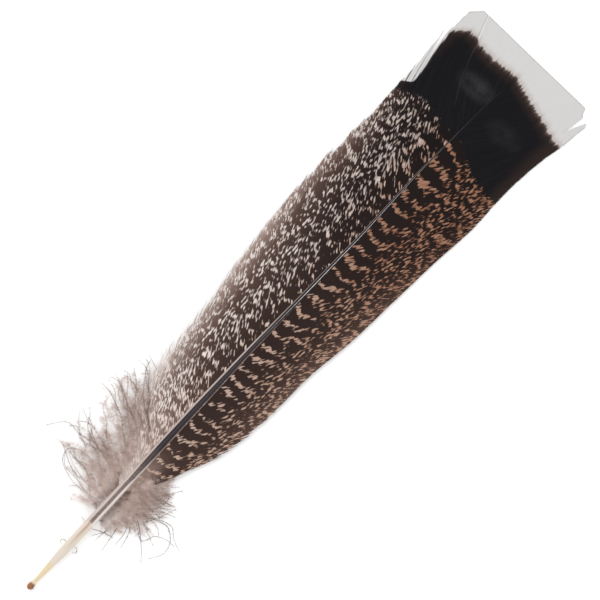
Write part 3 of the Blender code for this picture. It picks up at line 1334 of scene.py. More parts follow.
@dataclass
class Vane:
    """One vane: hundreds of barbs that sweep from the shaft to the outer edge.

    Attributes:
        edge: Offset of the outer edge, over station.
        trim: Station of the trimmed tip, over offset.
        partings: Where its barbs have come unhooked.
        root_angle: Angle between the shaft and a barb at its root, in degrees.
        edge_angle: The same at the outer edge.
        fray: How loose the barbs' ends are, over station.
        shed: How much of a barb may be missing, over root station.
        clump: How far clumps of barbs stand out, over root station.
        tip_spacing: Distance between roots where the barbs fan out to the tip, from fan_from on.
        opening: Length of the base over which the barbs stand further out.
        longest: Longest path that is followed.
        thickness: Height of the web's outer edge.
        lowest: Lowest point of a barb.
        parting_depth: How far a parting runs along the feather, at most.
        tip: Station of the top of the trimmed tip.
        trim_depth: How far below it a barb still counts as trimmed.
    """

    name: str
    node: str
    side: Side
    line: ShaftLine
    edge: Points
    trim: Points
    partings: tuple[Parting, ...]
    root_angle: float
    edge_angle: float
    first_root: float
    fray: Points
    shed: Points
    clump: Points
    seed: int
    spacing: float = 0.52
    tip_spacing: float = 0.42
    fan_from: float = 284.0
    opening: float = 50.0
    longest: float = 130.0
    trace_step: float = 0.5
    ring_step: float = 2.0
    ridge: float = 0.045
    thickness: float = 0.5
    lowest: float = 0.12
    parting_depth: float = 22.0
    tip: float = 330.0
    trim_depth: float = 5.0

    @cached_property
    def chart_box(self) -> tuple[np.ndarray, np.ndarray]:
        """Lowest corner and size of the CAD node, seen from above."""
        low, high = (np.array(corner.xy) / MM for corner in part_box(self.node))
        return low, high - low

    def roots(self) -> np.ndarray:
        """Stations of the barbs' roots."""
        below = np.arange(self.first_root, self.fan_from, self.spacing)
        above = np.arange(self.fan_from, self.line.end - 0.1, self.tip_spacing)
        return np.concatenate([below, above])

    def width_at(self, station: np.ndarray) -> np.ndarray:
        """Distance from the shaft's middle to the outer edge."""
        edge = curve_through(self.edge, station) * self.side.value
        return edge - self.line.offset_at(station) * self.side.value

    def trace(self, root: np.ndarray) -> tuple[np.ndarray, np.ndarray]:
        """Follows every barb from its root to the outer edge or the trimmed tip.

        Args:
            root: Stations of the roots.

        Returns:
            (offset, station) at each step of each barb, shaped (steps, barbs, 2), and each barb's length.
        """
        fan = 1.0 - np.clip((root - self.fan_from) / (self.line.end - self.fan_from), 0, 1) ** 1.25
        opened = 1.0 - ease(root, self.first_root, self.first_root + self.opening)
        start = np.radians(self.root_angle + 6.0 * opened) * np.maximum(fan, 0.004)
        finish = np.minimum(np.radians(self.edge_angle + 8.0 * opened), start * 0.85)
        out = self.line.radius_at(root) * (0.15 + 0.55 * np.minimum(fan * 4.0, 1.0))
        station = root.copy()
        steps = []
        length = np.full(len(root), np.inf)
        before = np.full(len(root), -1.0)
        for number in range(int(self.longest / self.trace_step)):
            offset = self.line.offset_at(station) + self.side.value * out
            steps.append(np.column_stack([offset, station]))
            width = self.width_at(station)
            past = np.maximum(out - width, station - straight_through(self.trim, offset))
            crossing = (number - past / np.maximum(past - before, 1e-6)) * self.trace_step
            length = np.where((past >= 0) & np.isinf(length), crossing, length)
            before = past
            share = np.clip(out / width, 0.0, 1.15)
            angle = start + (finish - start) * share**0.85
            out = out + np.sin(angle) * self.trace_step
            station = station + np.cos(angle) * self.trace_step
        return np.array(steps), np.clip(length, 0.5, self.longest - 1.0)

    def root_near(self, paths: np.ndarray, root: np.ndarray, place: tuple[float, float]) -> float:
        """Root station of the path that passes closest to a place (offset, station)."""
        gap = np.linalg.norm(paths - place, axis=2)
        return float(root[np.unravel_index(gap.argmin(), gap.shape)[1]])

    def root_through(self, place: tuple[float, float]) -> float:
        """Root station of the barb that passes closest to a place (offset, station)."""
        root = self.roots()
        return self.root_near(self.trace(root)[0], root, place)

    def swing(self, paths: np.ndarray, root: np.ndarray) -> np.ndarray:
        """Opens the partings.

        Args:
            paths: The barbs, as trace gives them.
            root: Stations of the roots.

        Returns:
            (offset shift, station shift, height shift) of each step of each barb.
        """
        shift = np.zeros((*paths.shape[:2], 3))
        outward = rightward(unit(np.gradient(paths, axis=0))) * self.side.value
        for parting in self.partings:
            split = self.root_near(paths, root, (parting.offset, parting.station))
            depth = min(self.parting_depth, self.tip - parting.station)
            beyond = np.clip((paths[..., 1] - parting.station) / depth, 0.0, 1.3) ** 1.15
            near = np.clip(1.0 - np.abs(root - split) / parting.reach, 0.0, 1.0)
            outer = root <= split
            amount = np.where(outer, parting.outward, -parting.inward) * near
            shift[..., :2] += outward * (beyond * amount)[..., None]
            shift[..., 2] += beyond * np.where(outer, 0.0, parting.lift) * near
        return shift

    def half_widths(self, paths: np.ndarray) -> np.ndarray:
        """Half widths with which neighbouring barbs overlap a little, at each step of each barb."""
        spread = np.empty_like(paths)
        spread[:, 1:-1] = (paths[:, 2:] - paths[:, :-2]) / 4
        spread[:, 0], spread[:, -1] = spread[:, 1], spread[:, -2]
        along = unit(np.gradient(paths, axis=0))
        half = np.abs(spread[..., 0] * along[..., 1] - spread[..., 1] * along[..., 0])
        return np.clip(half * 1.25 + 0.06, 0.05, 0.55)

    def height(self, plan: np.ndarray) -> np.ndarray:
        """Height of the web's top surface over (offset, station) points."""
        offset, station = plan.T
        share = np.clip(np.abs(offset - self.line.offset_at(station)) / self.width_at(station), 0.0, 1.3)
        middle = self.line.height_at(station)
        radius = self.line.radius_at(station)
        inner = middle + radius * 0.25
        outer = (middle - radius) * 0.25 + self.thickness
        within = np.minimum(share, 1.0)
        swell = 0.28 * np.sin(station * 0.075 + 1.7 * share) * np.sin(np.pi * within)
        return inner + (outer - inner) * within**1.7 + swell + 0.25

    def build(self, material: bpy.types.Material) -> bpy.types.Object:
        """Builds the vane's mesh.

        Args:
            material: The web's finish.

        Returns:
            The vane, in place of its CAD node.
        """
        rng = np.random.default_rng(self.seed)
        root = self.roots()
        paths, length = self.trace(root)
        shift = self.swing(paths, root)
        half = self.half_widths(paths)
        chance = rng.random(len(root))
        clump = drift(rng, len(root), len(root) // 6) * straight_through(self.clump, root)
        fibres = FibreMesh(self.line)
        for number in range(len(root)):
            barb = Barb(
                root=root[number],
                chance=chance[number],
                length=length[number],
                clump=clump[number],
                path=paths[:, number],
                moved=paths[:, number] + shift[:, number, :2],
                raised=shift[:, number, 2],
                half=half[:, number],
            )
            self.add_barb(fibres, rng, barb)
        vane = fibres.build(self.name, material, Slot.VANE)
        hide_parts(self.node)
        return vane

    def add_barb(self, fibres: FibreMesh, rng: np.random.Generator, barb: Barb) -> None:
        """Adds one barb's blade.

        Args:
            fibres: The mesh to add to.
            rng: Source of random numbers.
            barb: The barb.
        """
        steps = np.arange(len(barb.path)) * self.trace_step
        end_station = np.interp(barb.length, steps, barb.path[:, 1])
        trimmed = end_station > self.tip - self.trim_depth
        loose = curve_at(self.fray, end_station)
        reach = self.reach(rng, barb, trimmed, loose)
        rings = max(4, int(round(reach / self.ring_step)) + 1)
        arc = np.linspace(0.0, reach, rings)

        def read(values: np.ndarray) -> np.ndarray:
            """Values along the barb at its rings."""
            return np.interp(arc, steps, values)

        grown, lain = (np.column_stack([read(row) for row in path.T]) for path in (barb.path, barb.moved))
        width = read(barb.half)
        tip_share = arc / reach
        swerve = np.minimum(0.3 * width, 0.05) + 0.35 * loose * tip_share**2
        wobble = drift(rng, rings, int(reach / 9.0)) * swerve
        wobble += drift(rng, rings, int(reach / 4.0)) * 0.3 * loose * tip_share**4
        lain = lain + rightward(unit(np.gradient(lain, axis=0))) * wobble[:, None]
        flick = loose * 0.5 * rng.random() * ease(arc, barb.length * 0.93, barb.length + 1.0)
        lain[:, 0] += self.side.value * flick
        if not trimmed:
            width = width * np.clip((reach - arc) / (1.8 + 1.2 * loose), 0.0, 1.0) ** 0.7
        width = np.maximum(width, 0.03)
        height = np.maximum(self.height(lain) + read(barb.raised) + rng.normal(0.0, 0.008), self.lowest)

        out = np.abs(grown[:, 0] - self.line.offset_at(grown[:, 1]))
        inset = self.width_at(grown[:, 1]) - out
        if trimmed:
            inset = np.minimum(inset, reach - arc)
        tags = Tags(
            plan=np.column_stack([inset, grown[:, 1], out]),
            lie=np.column_stack([np.full(rings, barb.root), arc, np.full(rings, barb.chance)]),
        )
        ridge = self.ridge * np.minimum(width / 0.12, 1.0)
        cut = self.cut_along(lain[-1, 0]) if trimmed else None
        centre = np.column_stack([lain, height])
        fibres.add_blade(centre, width, ridge, tags, self.chart(lain, width), MAP_UNDER, cut)

    def reach(self, rng: np.random.Generator, barb: Barb, trimmed: bool, loose: float) -> float:
        """Length to which a barb has really grown or worn.

        Args:
            rng: Source of random numbers.
            barb: The barb.
            trimmed: Whether it ends at the trimmed tip.
            loose: How loose its end is.

        Returns:
            The length.
        """
        stray = rng.normal(0.0, 0.35) * min(loose + 0.2, 1.0)
        stray = barb.clump + stray + loose * rng.random() ** 3
        reach = barb.length if trimmed else barb.length + stray
        reach *= 1.0 - float(straight_through(self.shed, barb.root)) * rng.random() ** 1.5
        return max(reach, 1.0 if trimmed else 3.0)

    def chart(self, lain: np.ndarray, width: np.ndarray) -> np.ndarray:
        """Texture coordinates of a blade: the node's box seen from above, in the left half of the map.

        Args:
            lain: (offset, station) of each ring.
            width: Half width of each ring.

        Returns:
            The coordinates, shaped (rings, 3, 2).
        """
        low, size = self.chart_box
        middle = (lain + self.line.origin - low) / size
        side = np.column_stack([width / size[0], np.zeros(len(width))])
        chart = np.stack([middle - side, middle, middle + side], axis=1)
        return np.clip(chart, 0.0, 1.0) * (MAP_HALF, 1.0)

    def cut_along(self, offset: float) -> np.ndarray:
        """Direction (offset, station) of the trimmed edge at an offset, for each millimetre across."""
        rise = float(np.diff(straight_through(self.trim, np.array([offset - 0.5, offset + 0.5])))[0])
        return np.array([1.0, rise]) / math.hypot(1.0, rise)


# ---------------------------------------------------------------- the down


@dataclass
class Tuft:
    """A tuft of down: curly barbs from the side of the shaft, each with a cloud of fine barbules.

    Attributes:
        count: How many barbs it has.
        roots: Lowest and highest root station.
        heading: Angle between the shaft and a barb at its root, in degrees, over root station.
        turn: How far a barb turns along its length, in degrees, over root station.
        length: Longest barbs, over root station.
        under: How far a barb stays below the web, over root station.
        strands: Loose strands as (offset, station) points.
        curl: How strongly barbs curl, in radians.
        strand_barbule: Length of a barbule on a strand.
        loose_every: One barb in this many is a loose strand.
        rise: How high barbs arch.
        lowest: Lowest point of a barb.
        lowest_tip: Lowest point of a barbule.
    """

    name: str
    node: str
    side: Side
    line: ShaftLine
    count: int
    roots: tuple[float, float]
    heading: Points
    turn: Points
    length: Points
    under: Points
    strands: tuple[Points, ...]
    seed: int
    curl: float = 0.95
    ring_step: float = 1.0
    width: float = 0.035
    barbule_gap: float = 0.125
    barbule_length: float = 3.1
    barbule_width: float = 0.08
    strand_gap: float = 0.1
    strand_barbule: float = 0.95
    strand_width: float = 0.085
    loose_every: int = 6
    rise: float = 3.0
    lowest: float = 0.25
    lowest_tip: float = 0.15

    def build(self, material: bpy.types.Material) -> bpy.types.Object:
        """Builds the tuft's mesh.

        Args:
            material: The down's finish.

        Returns:
            The tuft, in place of its CAD node.
        """
        rng = np.random.default_rng(self.seed)
        fibres = FibreMesh(self.line)
        low, high = self.roots
        rows = self.count + len(self.strands)
        for number in range(self.count):
            root = low + (high - low) * (number + rng.random()) / self.count
            self.add_barb(fibres, rng, root, (number + 0.5) / rows, number % self.loose_every == 0)
        for number, strand in enumerate(self.strands, self.count):
            self.add_strand(fibres, rng, strand, (number + 0.5) / rows)
        tuft = fibres.build(self.name, material, Slot.DOWN)
        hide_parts(self.node)
        return tuft

    def add_barb(
        self, fibres: FibreMesh, rng: np.random.Generator, root: float, row: float, loose: bool
    ) -> None:
        """Adds one downy barb.

        Args:
            fibres: The mesh to add to.
            rng: Source of random numbers.
            root: Station of its root.
            row: Height of its row of texture coordinates, from 0 to 1.
            loose: Whether it stands out as a long, thin-haired strand.
        """
        reach = curve_at(self.length, root)
        reach *= rng.uniform(1.0, 1.22) if loose else rng.uniform(0.5, 1.05)
        heading = math.radians(curve_at(self.heading, root) + rng.normal(0.0, 13.0))
        turn = math.radians(curve_at(self.turn, root) + rng.normal(0.0, 20.0))
        rings = max(8, int(reach / self.ring_step))
        share = np.linspace(0.0, 1.0, rings)
        wave = drift(rng, rings, int(reach / 6.0)) * self.curl * share**0.8
        angle = heading + turn * share + wave
        step = reach / (rings - 1)
        start = self.line.offset_at(root) + self.side.value * self.line.radius_at(root) * 0.8
        offset = start + self.side.value * np.cumsum(np.sin(angle)) * step
        station = root + np.cumsum(np.cos(angle)) * step
        offset[0], station[0] = start, root

        hidden = curve_at(self.under, root) * rng.uniform(0.7, 1.3)
        arc = share * reach
        middle = self.line.height_at(root)
        above = middle * (1.0 - share) ** 1.2 + self.rise * rng.random() * np.sin(np.pi * share) + 0.9
        height = 0.5 + (above - 0.5) * ease(arc, hidden, hidden + 4.0) + drift(rng, rings, 5) * 0.4 * share
        centre = np.column_stack([offset, station, np.maximum(height, self.lowest)])
        span = self.barbule_length * ease(arc, hidden - 1.0, hidden + 3.0)
        if loose:
            span = np.minimum(span, self.strand_barbule + 1.2 * (1.0 - share))
            self.add_fibre(fibres, rng, centre, (root, LOOSE, row), self.strand_gap, span)
        else:
            self.add_fibre(fibres, rng, centre, (root, rng.random(), row), self.barbule_gap, span)

    def add_strand(
        self, fibres: FibreMesh, rng: np.random.Generator, places: Points, row: float
    ) -> None:
        """Adds one loose strand.

        Args:
            fibres: The mesh to add to.
            rng: Source of random numbers.
            places: (offset, station) points along it.
            row: Height of its row of texture coordinates, from 0 to 1.
        """
        knots = np.array(places)
        run = np.concatenate([[0.0], np.cumsum(np.linalg.norm(np.diff(knots, axis=0), axis=1))])
        rings = max(8, int(run[-1] / self.ring_step))
        arc = np.linspace(0.0, run[-1], rings)
        plan = np.column_stack([curve_through(tuple(zip(run, values)), arc) for values in knots.T])
        plan = plan + np.column_stack([drift(rng, rings, rings // 4) for _ in range(2)]) * 0.25
        share = arc / run[-1]
        height = 1.6 * (1.0 - share) + 0.5 + 0.9 * np.sin(np.pi * share)
        span = self.strand_barbule * (1.0 - 0.5 * share)
        traits = (knots[0, 1], LONE, row)
        self.add_fibre(fibres, rng, np.column_stack([plan, height]), traits, self.strand_gap, span)

    def add_fibre(
        self,
        fibres: FibreMesh,
        rng: np.random.Generator,
        centre: np.ndarray,
        traits: tuple[float, float, float],
        gap: float,
        span: np.ndarray,
    ) -> None:
        """Adds a barb's blade and its barbules.

        Args:
            fibres: The mesh to add to.
            rng: Source of random numbers.
            centre: (offset, station, height) along the barb.
            traits: Its root station, its random number and its row of texture coordinates.
            gap: Distance between barbules.
            span: Length of the barbules along the barb.
        """
        root, chance, row = traits
        rings = len(centre)
        steps = np.linalg.norm(np.diff(centre, axis=0), axis=1)
        arc = np.concatenate([[0.0], np.cumsum(steps)])
        share = arc / arc[-1]
        out = np.abs(centre[:, 0] - self.line.offset_at(centre[:, 1]))
        plan = np.column_stack([centre[:, :2], out])
        lie = np.column_stack([np.full(rings, root), arc, np.full(rings, chance)])
        bare = {LOOSE: ease(arc, 8.0, 20.0), LONE: ease(arc, 0.0, 4.0) * 1.8}.get(chance, 0.0)
        width = (self.width + (self.strand_width - self.width) * bare) * (1.0 - 0.75 * share)
        band = 0.3 / (self.count + len(self.strands))
        sides = [np.column_stack([share * 0.98 + 0.01, np.full(rings, row + k * band)]) for k in (-1, 0, 1)]
        fibres.add_blade(centre, width, width * 1.2, Tags(plan, lie), np.stack(sides, axis=1), 0.0)

        count = max(6, int(arc[-1] / gap))
        where = np.sort(rng.random(count))

        def read(values: np.ndarray) -> np.ndarray:
            """Rows of values at the barbules' roots."""
            return np.column_stack([np.interp(where, share, column) for column in values.T])

        foot = read(centre)
        along = unit(read(np.gradient(centre, axis=0)))
        right = np.cross(along, (0.0, 0.0, 1.0))
        hand = rng.choice((-1.0, 1.0), count)[:, None]
        lean = np.radians(rng.uniform(30.0, 95.0, count))[:, None]
        lift = rng.normal(0.1, 0.35, count)[:, None] * (0.0, 0.0, 1.0)
        heading = along * np.cos(lean) + right * hand * np.sin(lean) + lift
        length = np.interp(where, share, span) * rng.uniform(0.4, 1.2, count) * (1.0 - 0.4 * where)
        tip = foot + heading * length[:, None]
        tip[:, 2] = np.maximum(tip[:, 2], self.lowest_tip)
        dots = np.column_stack([where * 0.98 + 0.01, np.full(count, row)])
        fibres.add_spikes(foot, tip, self.barbule_width, Tags(read(plan), read(lie)), dots)


# ---------------------------------------------------------------- the shaft


@dataclass
class Shaft:
    """The quill and rachis: round at the quill, squarer and grooved below along the rachis.

    Attributes:
        sides: Number of points in a ring.
        step: Distance between rings.
        nub_step: Distance between the rings of the nub, up to nub_end.
        fit: Size as a share of the CAD shaft's, so that it stays inside.
    """

    line: ShaftLine
    name: str = "shaft_horn"
    node: str = "shaft"
    sides: int = 24
    step: float = 1.2
    nub_end: float = 4.2
    nub_step: float = 0.2
    fit: float = 0.99

    def build(self, material: bpy.types.Material) -> bpy.types.Object:
        """Builds the shaft's mesh.

        Args:
            material: The horn finish.

        Returns:
            The shaft, in place of its CAD node.
        """
        low = np.arange(0.0, self.nub_end, self.nub_step)
        high = np.arange(self.nub_end, self.line.end, self.step)
        turn = np.arange(self.sides) * (2 * math.pi / self.sides)
        points, plans, lies = [], [], []
        for place in [*low, *high, self.line.end]:
            across, crown = self.ring(place, turn)
            here = np.full(self.sides, place)
            radius = self.line.radius_at(place) * self.fit
            plan = np.column_stack([self.line.offset_at(place) + radius * across, here])
            points.append(self.line.to_world(plan, self.line.height_at(place) + radius * crown))
            plans.append(np.column_stack([across, here, crown]))
            lies.append(np.column_stack([turn * 2.0, here, np.zeros(self.sides)]))
        mesh = bpy.data.meshes.new(self.name)
        mesh.from_pydata(np.concatenate(points).tolist(), [], self.faces(len(points)))
        mesh.shade_smooth()
        shaft = dress(mesh, plans, lies, material, Slot.SHAFT)
        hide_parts(self.node)
        return shaft

    def ring(self, place: float, turn: np.ndarray) -> tuple[np.ndarray, np.ndarray]:
        """Shapes one ring, with a bumpy nub at the foot and a groove below along the rachis.

        Args:
            place: Station of the ring.
            turn: Angle of each point from the crown.

        Returns:
            How far each point is to the right and up, in shares of the shaft's radius.
        """
        across, crown = np.sin(turn), np.cos(turn)
        square = 2.0 + 1.1 * ease(place, 45.0, 110.0)
        reach = (np.abs(across) ** square + np.abs(crown) ** square) ** (-1.0 / square)
        groove = 0.22 * ease(place, 60.0, 100.0) * np.exp(-((across / 0.3) ** 2))
        bead = 1.0 - ease(place, 2.2, 4.0)
        reach = reach * (1.0 - groove * (crown < 0))
        reach = reach * (1.0 + 0.07 * bead * np.sin(3 * turn + 2.3 * place) * np.sin(5.1 * place))
        return across * reach, crown * reach

    def faces(self, rings: int) -> list[list[int]]:
        """The faces between rings, and both ends."""
        first = np.arange(rings - 1)[:, None] * self.sides
        here = np.arange(self.sides)
        other = (here + 1) % self.sides
        corners = [first + here, first + here + self.sides, first + other + self.sides, first + other]
        ends = [list(here), list(rings * self.sides - 1 - here)]
        return np.stack(corners, axis=-1).reshape(-1, 4).tolist() + [[int(at) for at in end] for end in ends]


# ---------------------------------------------------------------- the studio


@dataclass(frozen=True)
class Studio:
    """A pale floor, soft light from the feather's left, and a camera looking straight down.

    Attributes:
        view_width: Width of the view at the floor.
        turn: How far the camera is turned to the left, in degrees.
        aim: (offset, station) of the middle of the view.
        surrounding: Strength of the light from all round.
        lamps: (name, place in metres, size in metres, power) of each lamp.
    """

    floor_size: float = 3.0
    lens: float = 180.0
    sensor: float = 36.0
    view_width: float = 270.5
    turn: float = 43.67
    aim: tuple[float, float] = (-1.2, 178.6)
    surrounding: float = 0.88
    lamps: tuple[tuple[str, Spot, float, float], ...] = (
        ("key", (-0.6, 0.25, 1.1), 0.8, 4.0),
        ("fill", (0.6, -0.5, 1.1), 1.0, 1.0),
    )

    def build(self, line: ShaftLine) -> None:
        """Sets up the floor, the lights and the camera.

        Args:
            line: The shaft's line, which places the camera's aim.
        """
        self.add_floor()
        self.add_lights()
        self.add_camera(line)
        bpy.context.scene.view_settings.view_transform = "Standard"

    def add_floor(self) -> None:
        """Lays the floor, which gives off a little light of its own so that it stays white."""
        glow = dict(Emission_Color=(1.0, 1.0, 1.0), Emission_Strength=0.14)
        paint = Paint("white_floor", Roughness=0.9, Base_Color=(0.93,) * 3, Specular_IOR_Level=0.0, **glow)
        bpy.ops.mesh.primitive_plane_add(size=self.floor_size)
        floor = bpy.context.object
        floor.name = "floor"
        floor.data.materials.append(paint.material)
        floor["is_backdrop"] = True

    def add_lights(self) -> None:
        """Hangs the lamps, aimed at the feather, and sets the surrounding light."""
        world = bpy.data.worlds.new("studio")
        world.use_nodes = True
        sky = world.node_tree.nodes["Background"]
        Graph(world.node_tree).fill(sky, Color=(1.0, 1.0, 1.0), Strength=self.surrounding)
        bpy.context.scene.world = world
        for name, place, size, power in self.lamps:
            light = bpy.data.lights.new(name, "AREA")
            light.size = size
            light.energy = power
            lamp = bpy.data.objects.new(name, light)
            lamp.location = place
            lamp.rotation_euler = (-Vector(place)).to_track_quat("-Z", "Y").to_euler()
            bpy.context.scene.collection.objects.link(lamp)

    def add_camera(self, line: ShaftLine) -> None:
        """Places the camera over the feather, turned so that the feather points up and to the right."""
        data = bpy.data.cameras.new("camera")
        data.lens = self.lens
        data.sensor_width = self.sensor
        camera = bpy.data.objects.new("camera", data)
        distance = self.view_width * self.lens / self.sensor
        camera.location = line.to_world(np.array([self.aim]), np.array([distance]))[0]
        camera.rotation_euler = (0.0, 0.0, math.radians(self.turn))
        bpy.context.scene.collection.objects.link(camera)
        bpy.context.scene.camera = camera


# ---------------------------------------------------------------- the feather

TRIM: Points = (
    (-40.0, 319.0),
    (-35.2, 325.7),
    (-31.0, 330.0),
    (32.0, 329.8),
    (33.9, 326.6),
    (38.0, 323.6),
    (40.0, 320.0),
)

WEB_TONES = (
    (0.06, srgb(17, 14, 15)),
    (0.18, srgb(38, 28, 26)),
    (0.36, srgb(86, 66, 59)),
    (0.60, srgb(152, 131, 122)),
    (0.90, srgb(228, 217, 212)),
)

LEFT_FINISH = WebFinish(
    name="left_web",
    pale_border=(
        (0.0, 318.5), (4.0, 318.2), (11.0, 317.4), (22.0, 317.8), (29.0, 318.9), (33.5, 316.0), (37.0, 309.0),
    ),
    black_border=((0.0, 279.5), (3.0, 279.5), (12.0, 281.0), (22.0, 282.4), (30.0, 279.5), (37.0, 277.0)),
    dark_level=(
        (0.0, 0.72), (60.0, 0.72), (75.0, 0.68), (90.0, 0.52), (110.0, 0.33), (130.0, 0.22),
        (190.0, 0.19), (230.0, 0.145), (270.0, 0.095), (330.0, 0.09),
    ),
    edge_level=(
        (0.0, 0.0), (75.0, 0.05), (90.0, 0.40), (110.0, 0.68), (140.0, 0.60), (190.0, 0.50), (210.0, 0.42),
        (250.0, 0.34), (275.0, 0.18), (330.0, 0.10),
    ),
    mark_level=(
        (0.0, 1.0), (75.0, 0.95), (110.0, 0.70), (150.0, 0.5), (200.0, 0.38), (260.0, 0.1), (330.0, 0.0),
    ),
    mark_hues=(srgb(150, 114, 94), srgb(222, 207, 199)),
    outer_hues=(srgb(142, 124, 115), srgb(230, 219, 213)),
    slope=((0.0, 0.2), (330.0, 0.2)),
    hook=0.0,
    bar_level=((0.0, 0.9), (330.0, 0.9)),
    bar_reach=-6.0,
    stroke_level=(
        (0.0, 0.2), (120.0, 0.22), (235.0, 0.23), (250.0, 0.15), (264.0, 0.14), (282.0, 0.34), (330.0, 0.34),
    ),
    clearing=0.3,
    chain=0.5,
    plain=(105.0, 140.0),
    base_contrast=0.85,
    edge_glow=0.5,
    painted_gleam=(302.8, 8.8, 0.33),
    rim=37.0,
    pale_rim=(
        (0.0, 0.0), (281.0, 0.0), (286.0, 4.4), (292.0, 4.2), (300.0, 3.4), (309.0, 2.4), (314.0, 0.8),
        (331.0, 0.0),
    ),
)

RIGHT_FINISH = WebFinish(
    name="right_web",
    pale_border=(
        (0.0, 318.5), (4.0, 317.0), (9.0, 315.6), (20.0, 313.0), (27.0, 310.7), (36.0, 309.0), (39.0, 309.0),
    ),
    black_border=(
        (0.0, 279.8), (3.0, 279.5), (9.7, 277.2), (15.0, 274.2), (20.0, 272.0), (28.0, 271.0), (37.0, 271.0),
    ),
    dark_level=(
        (0.0, 0.36), (62.0, 0.34), (70.0, 0.26), (90.0, 0.23), (150.0, 0.20), (190.0, 0.19), (230.0, 0.155),
        (270.0, 0.11), (330.0, 0.10),
    ),
    edge_level=((0.0, 0.0), (100.0, 0.1), (130.0, 0.2), (190.0, 0.14), (250.0, 0.06), (330.0, 0.04)),
    mark_level=((0.0, 1.0), (90.0, 0.9), (130.0, 0.75), (190.0, 0.32), (230.0, 0.03), (330.0, 0.0)),
    mark_hues=(srgb(146, 103, 80), srgb(190, 166, 152)),
    outer_hues=(srgb(136, 92, 69), srgb(187, 157, 139)),
    slope=(
        (0.0, 0.1), (110.0, 0.14), (155.0, 0.2), (190.0, 0.13), (225.0, 0.0), (250.0, -0.1), (330.0, -0.14),
    ),
    hook=3.0,
    bar_level=((0.0, 0.8), (120.0, 0.76), (160.0, 0.68), (210.0, 0.6), (330.0, 0.56)),
    bar_reach=11.0,
    stroke_level=((0.0, 0.2), (180.0, 0.2), (220.0, 0.16), (330.0, 0.13)),
    clearing=0.0,
    chain=0.35,
    plain=(62.0, 92.0),
    painted_gleam=(295.5, 15.5, 0.12),
    rim=35.0,
    pale_rim=(
        (0.0, 0.0), (64.0, 4.0), (70.0, 5.2), (76.0, 4.4), (84.0, 2.2), (92.0, 0.5), (96.0, 0.0),
        (331.0, 0.0),
    ),
    edge_fade=6.0,
    haze=0.3,
)


# (offset, station) of a point on the crease in the left web.
CREASE_AT = (-20.0, 308.0)


def make_left_vane(line: ShaftLine) -> Vane:
    """Sets out the left vane: wider, with a crease near the tip and a frayed edge towards the quill.

    Args:
        line: The shaft's line.

    Returns:
        The vane.
    """
    return Vane(
        name="vane_left_barbs",
        node="vane_left",
        side=Side.LEFT,
        line=line,
        edge=(
            (60.0, -9.0), (72.0, -16.0), (90.0, -24.0), (106.0, -28.2), (125.0, -29.3), (151.0, -31.3),
            (167.0, -33.0), (180.0, -34.5), (193.0, -35.5), (209.0, -36.7), (225.0, -37.0), (256.0, -36.2),
            (280.0, -36.2), (295.0, -36.7), (306.0, -37.7), (313.5, -36.4), (330.0, -35.5),
        ),
        trim=TRIM,
        partings=(
            Parting(289.0, -11.0, 0.0, 0.0, 9.0, lift=0.2),
            Parting(286.0, -31.5, 1.2, 0.3, 6.0),
            Parting(277.0, -33.0, 0.9, 0.3, 5.0),
        ),
        root_angle=43.0,
        edge_angle=13.0,
        first_root=62.0,
        fray=(
            (70.0, 5.0), (110.0, 4.0), (150.0, 2.4), (180.0, 1.3), (230.0, 0.5), (300.0, 0.3), (330.0, 0.2),
        ),
        shed=((60.0, 0.45), (80.0, 0.3), (105.0, 0.12), (125.0, 0.0), (330.0, 0.0)),
        clump=(
            (60.0, 1.2), (100.0, 3.0), (150.0, 4.5), (200.0, 3.5), (240.0, 1.2), (260.0, 0.0), (330.0, 0.0),
        ),
        seed=11,
    )


def make_right_vane(line: ShaftLine) -> Vane:
    """Sets out the right vane: neat-edged, with a slit beside the trimmed corner.

    Args:
        line: The shaft's line.

    Returns:
        The vane.
    """
    return Vane(
        name="vane_right_barbs",
        node="vane_right",
        side=Side.RIGHT,
        line=line,
        edge=(
            (62.0, 6.0), (66.0, 11.0), (71.0, 15.0), (79.0, 15.7), (87.0, 16.0), (93.0, 18.0), (100.0, 21.4),
            (110.0, 23.4), (128.0, 25.2), (158.0, 25.9), (180.0, 28.5), (209.0, 30.0), (234.0, 31.3),
            (256.0, 33.0), (273.6, 32.6), (291.6, 33.4), (300.6, 34.5), (309.0, 36.2), (323.6, 37.7),
            (330.0, 38.0),
        ),
        trim=TRIM,
        partings=(Parting(314.2, 31.9, 2.6, 1.8, 16.0),),
        root_angle=41.0,
        edge_angle=14.0,
        first_root=62.0,
        fray=((70.0, 0.8), (110.0, 0.3), (330.0, 0.2)),
        shed=((60.0, 0.3), (75.0, 0.1), (90.0, 0.0), (330.0, 0.0)),
        clump=((60.0, 0.3), (250.0, 0.3), (260.0, 0.0), (330.0, 0.0)),
        seed=12,
    )


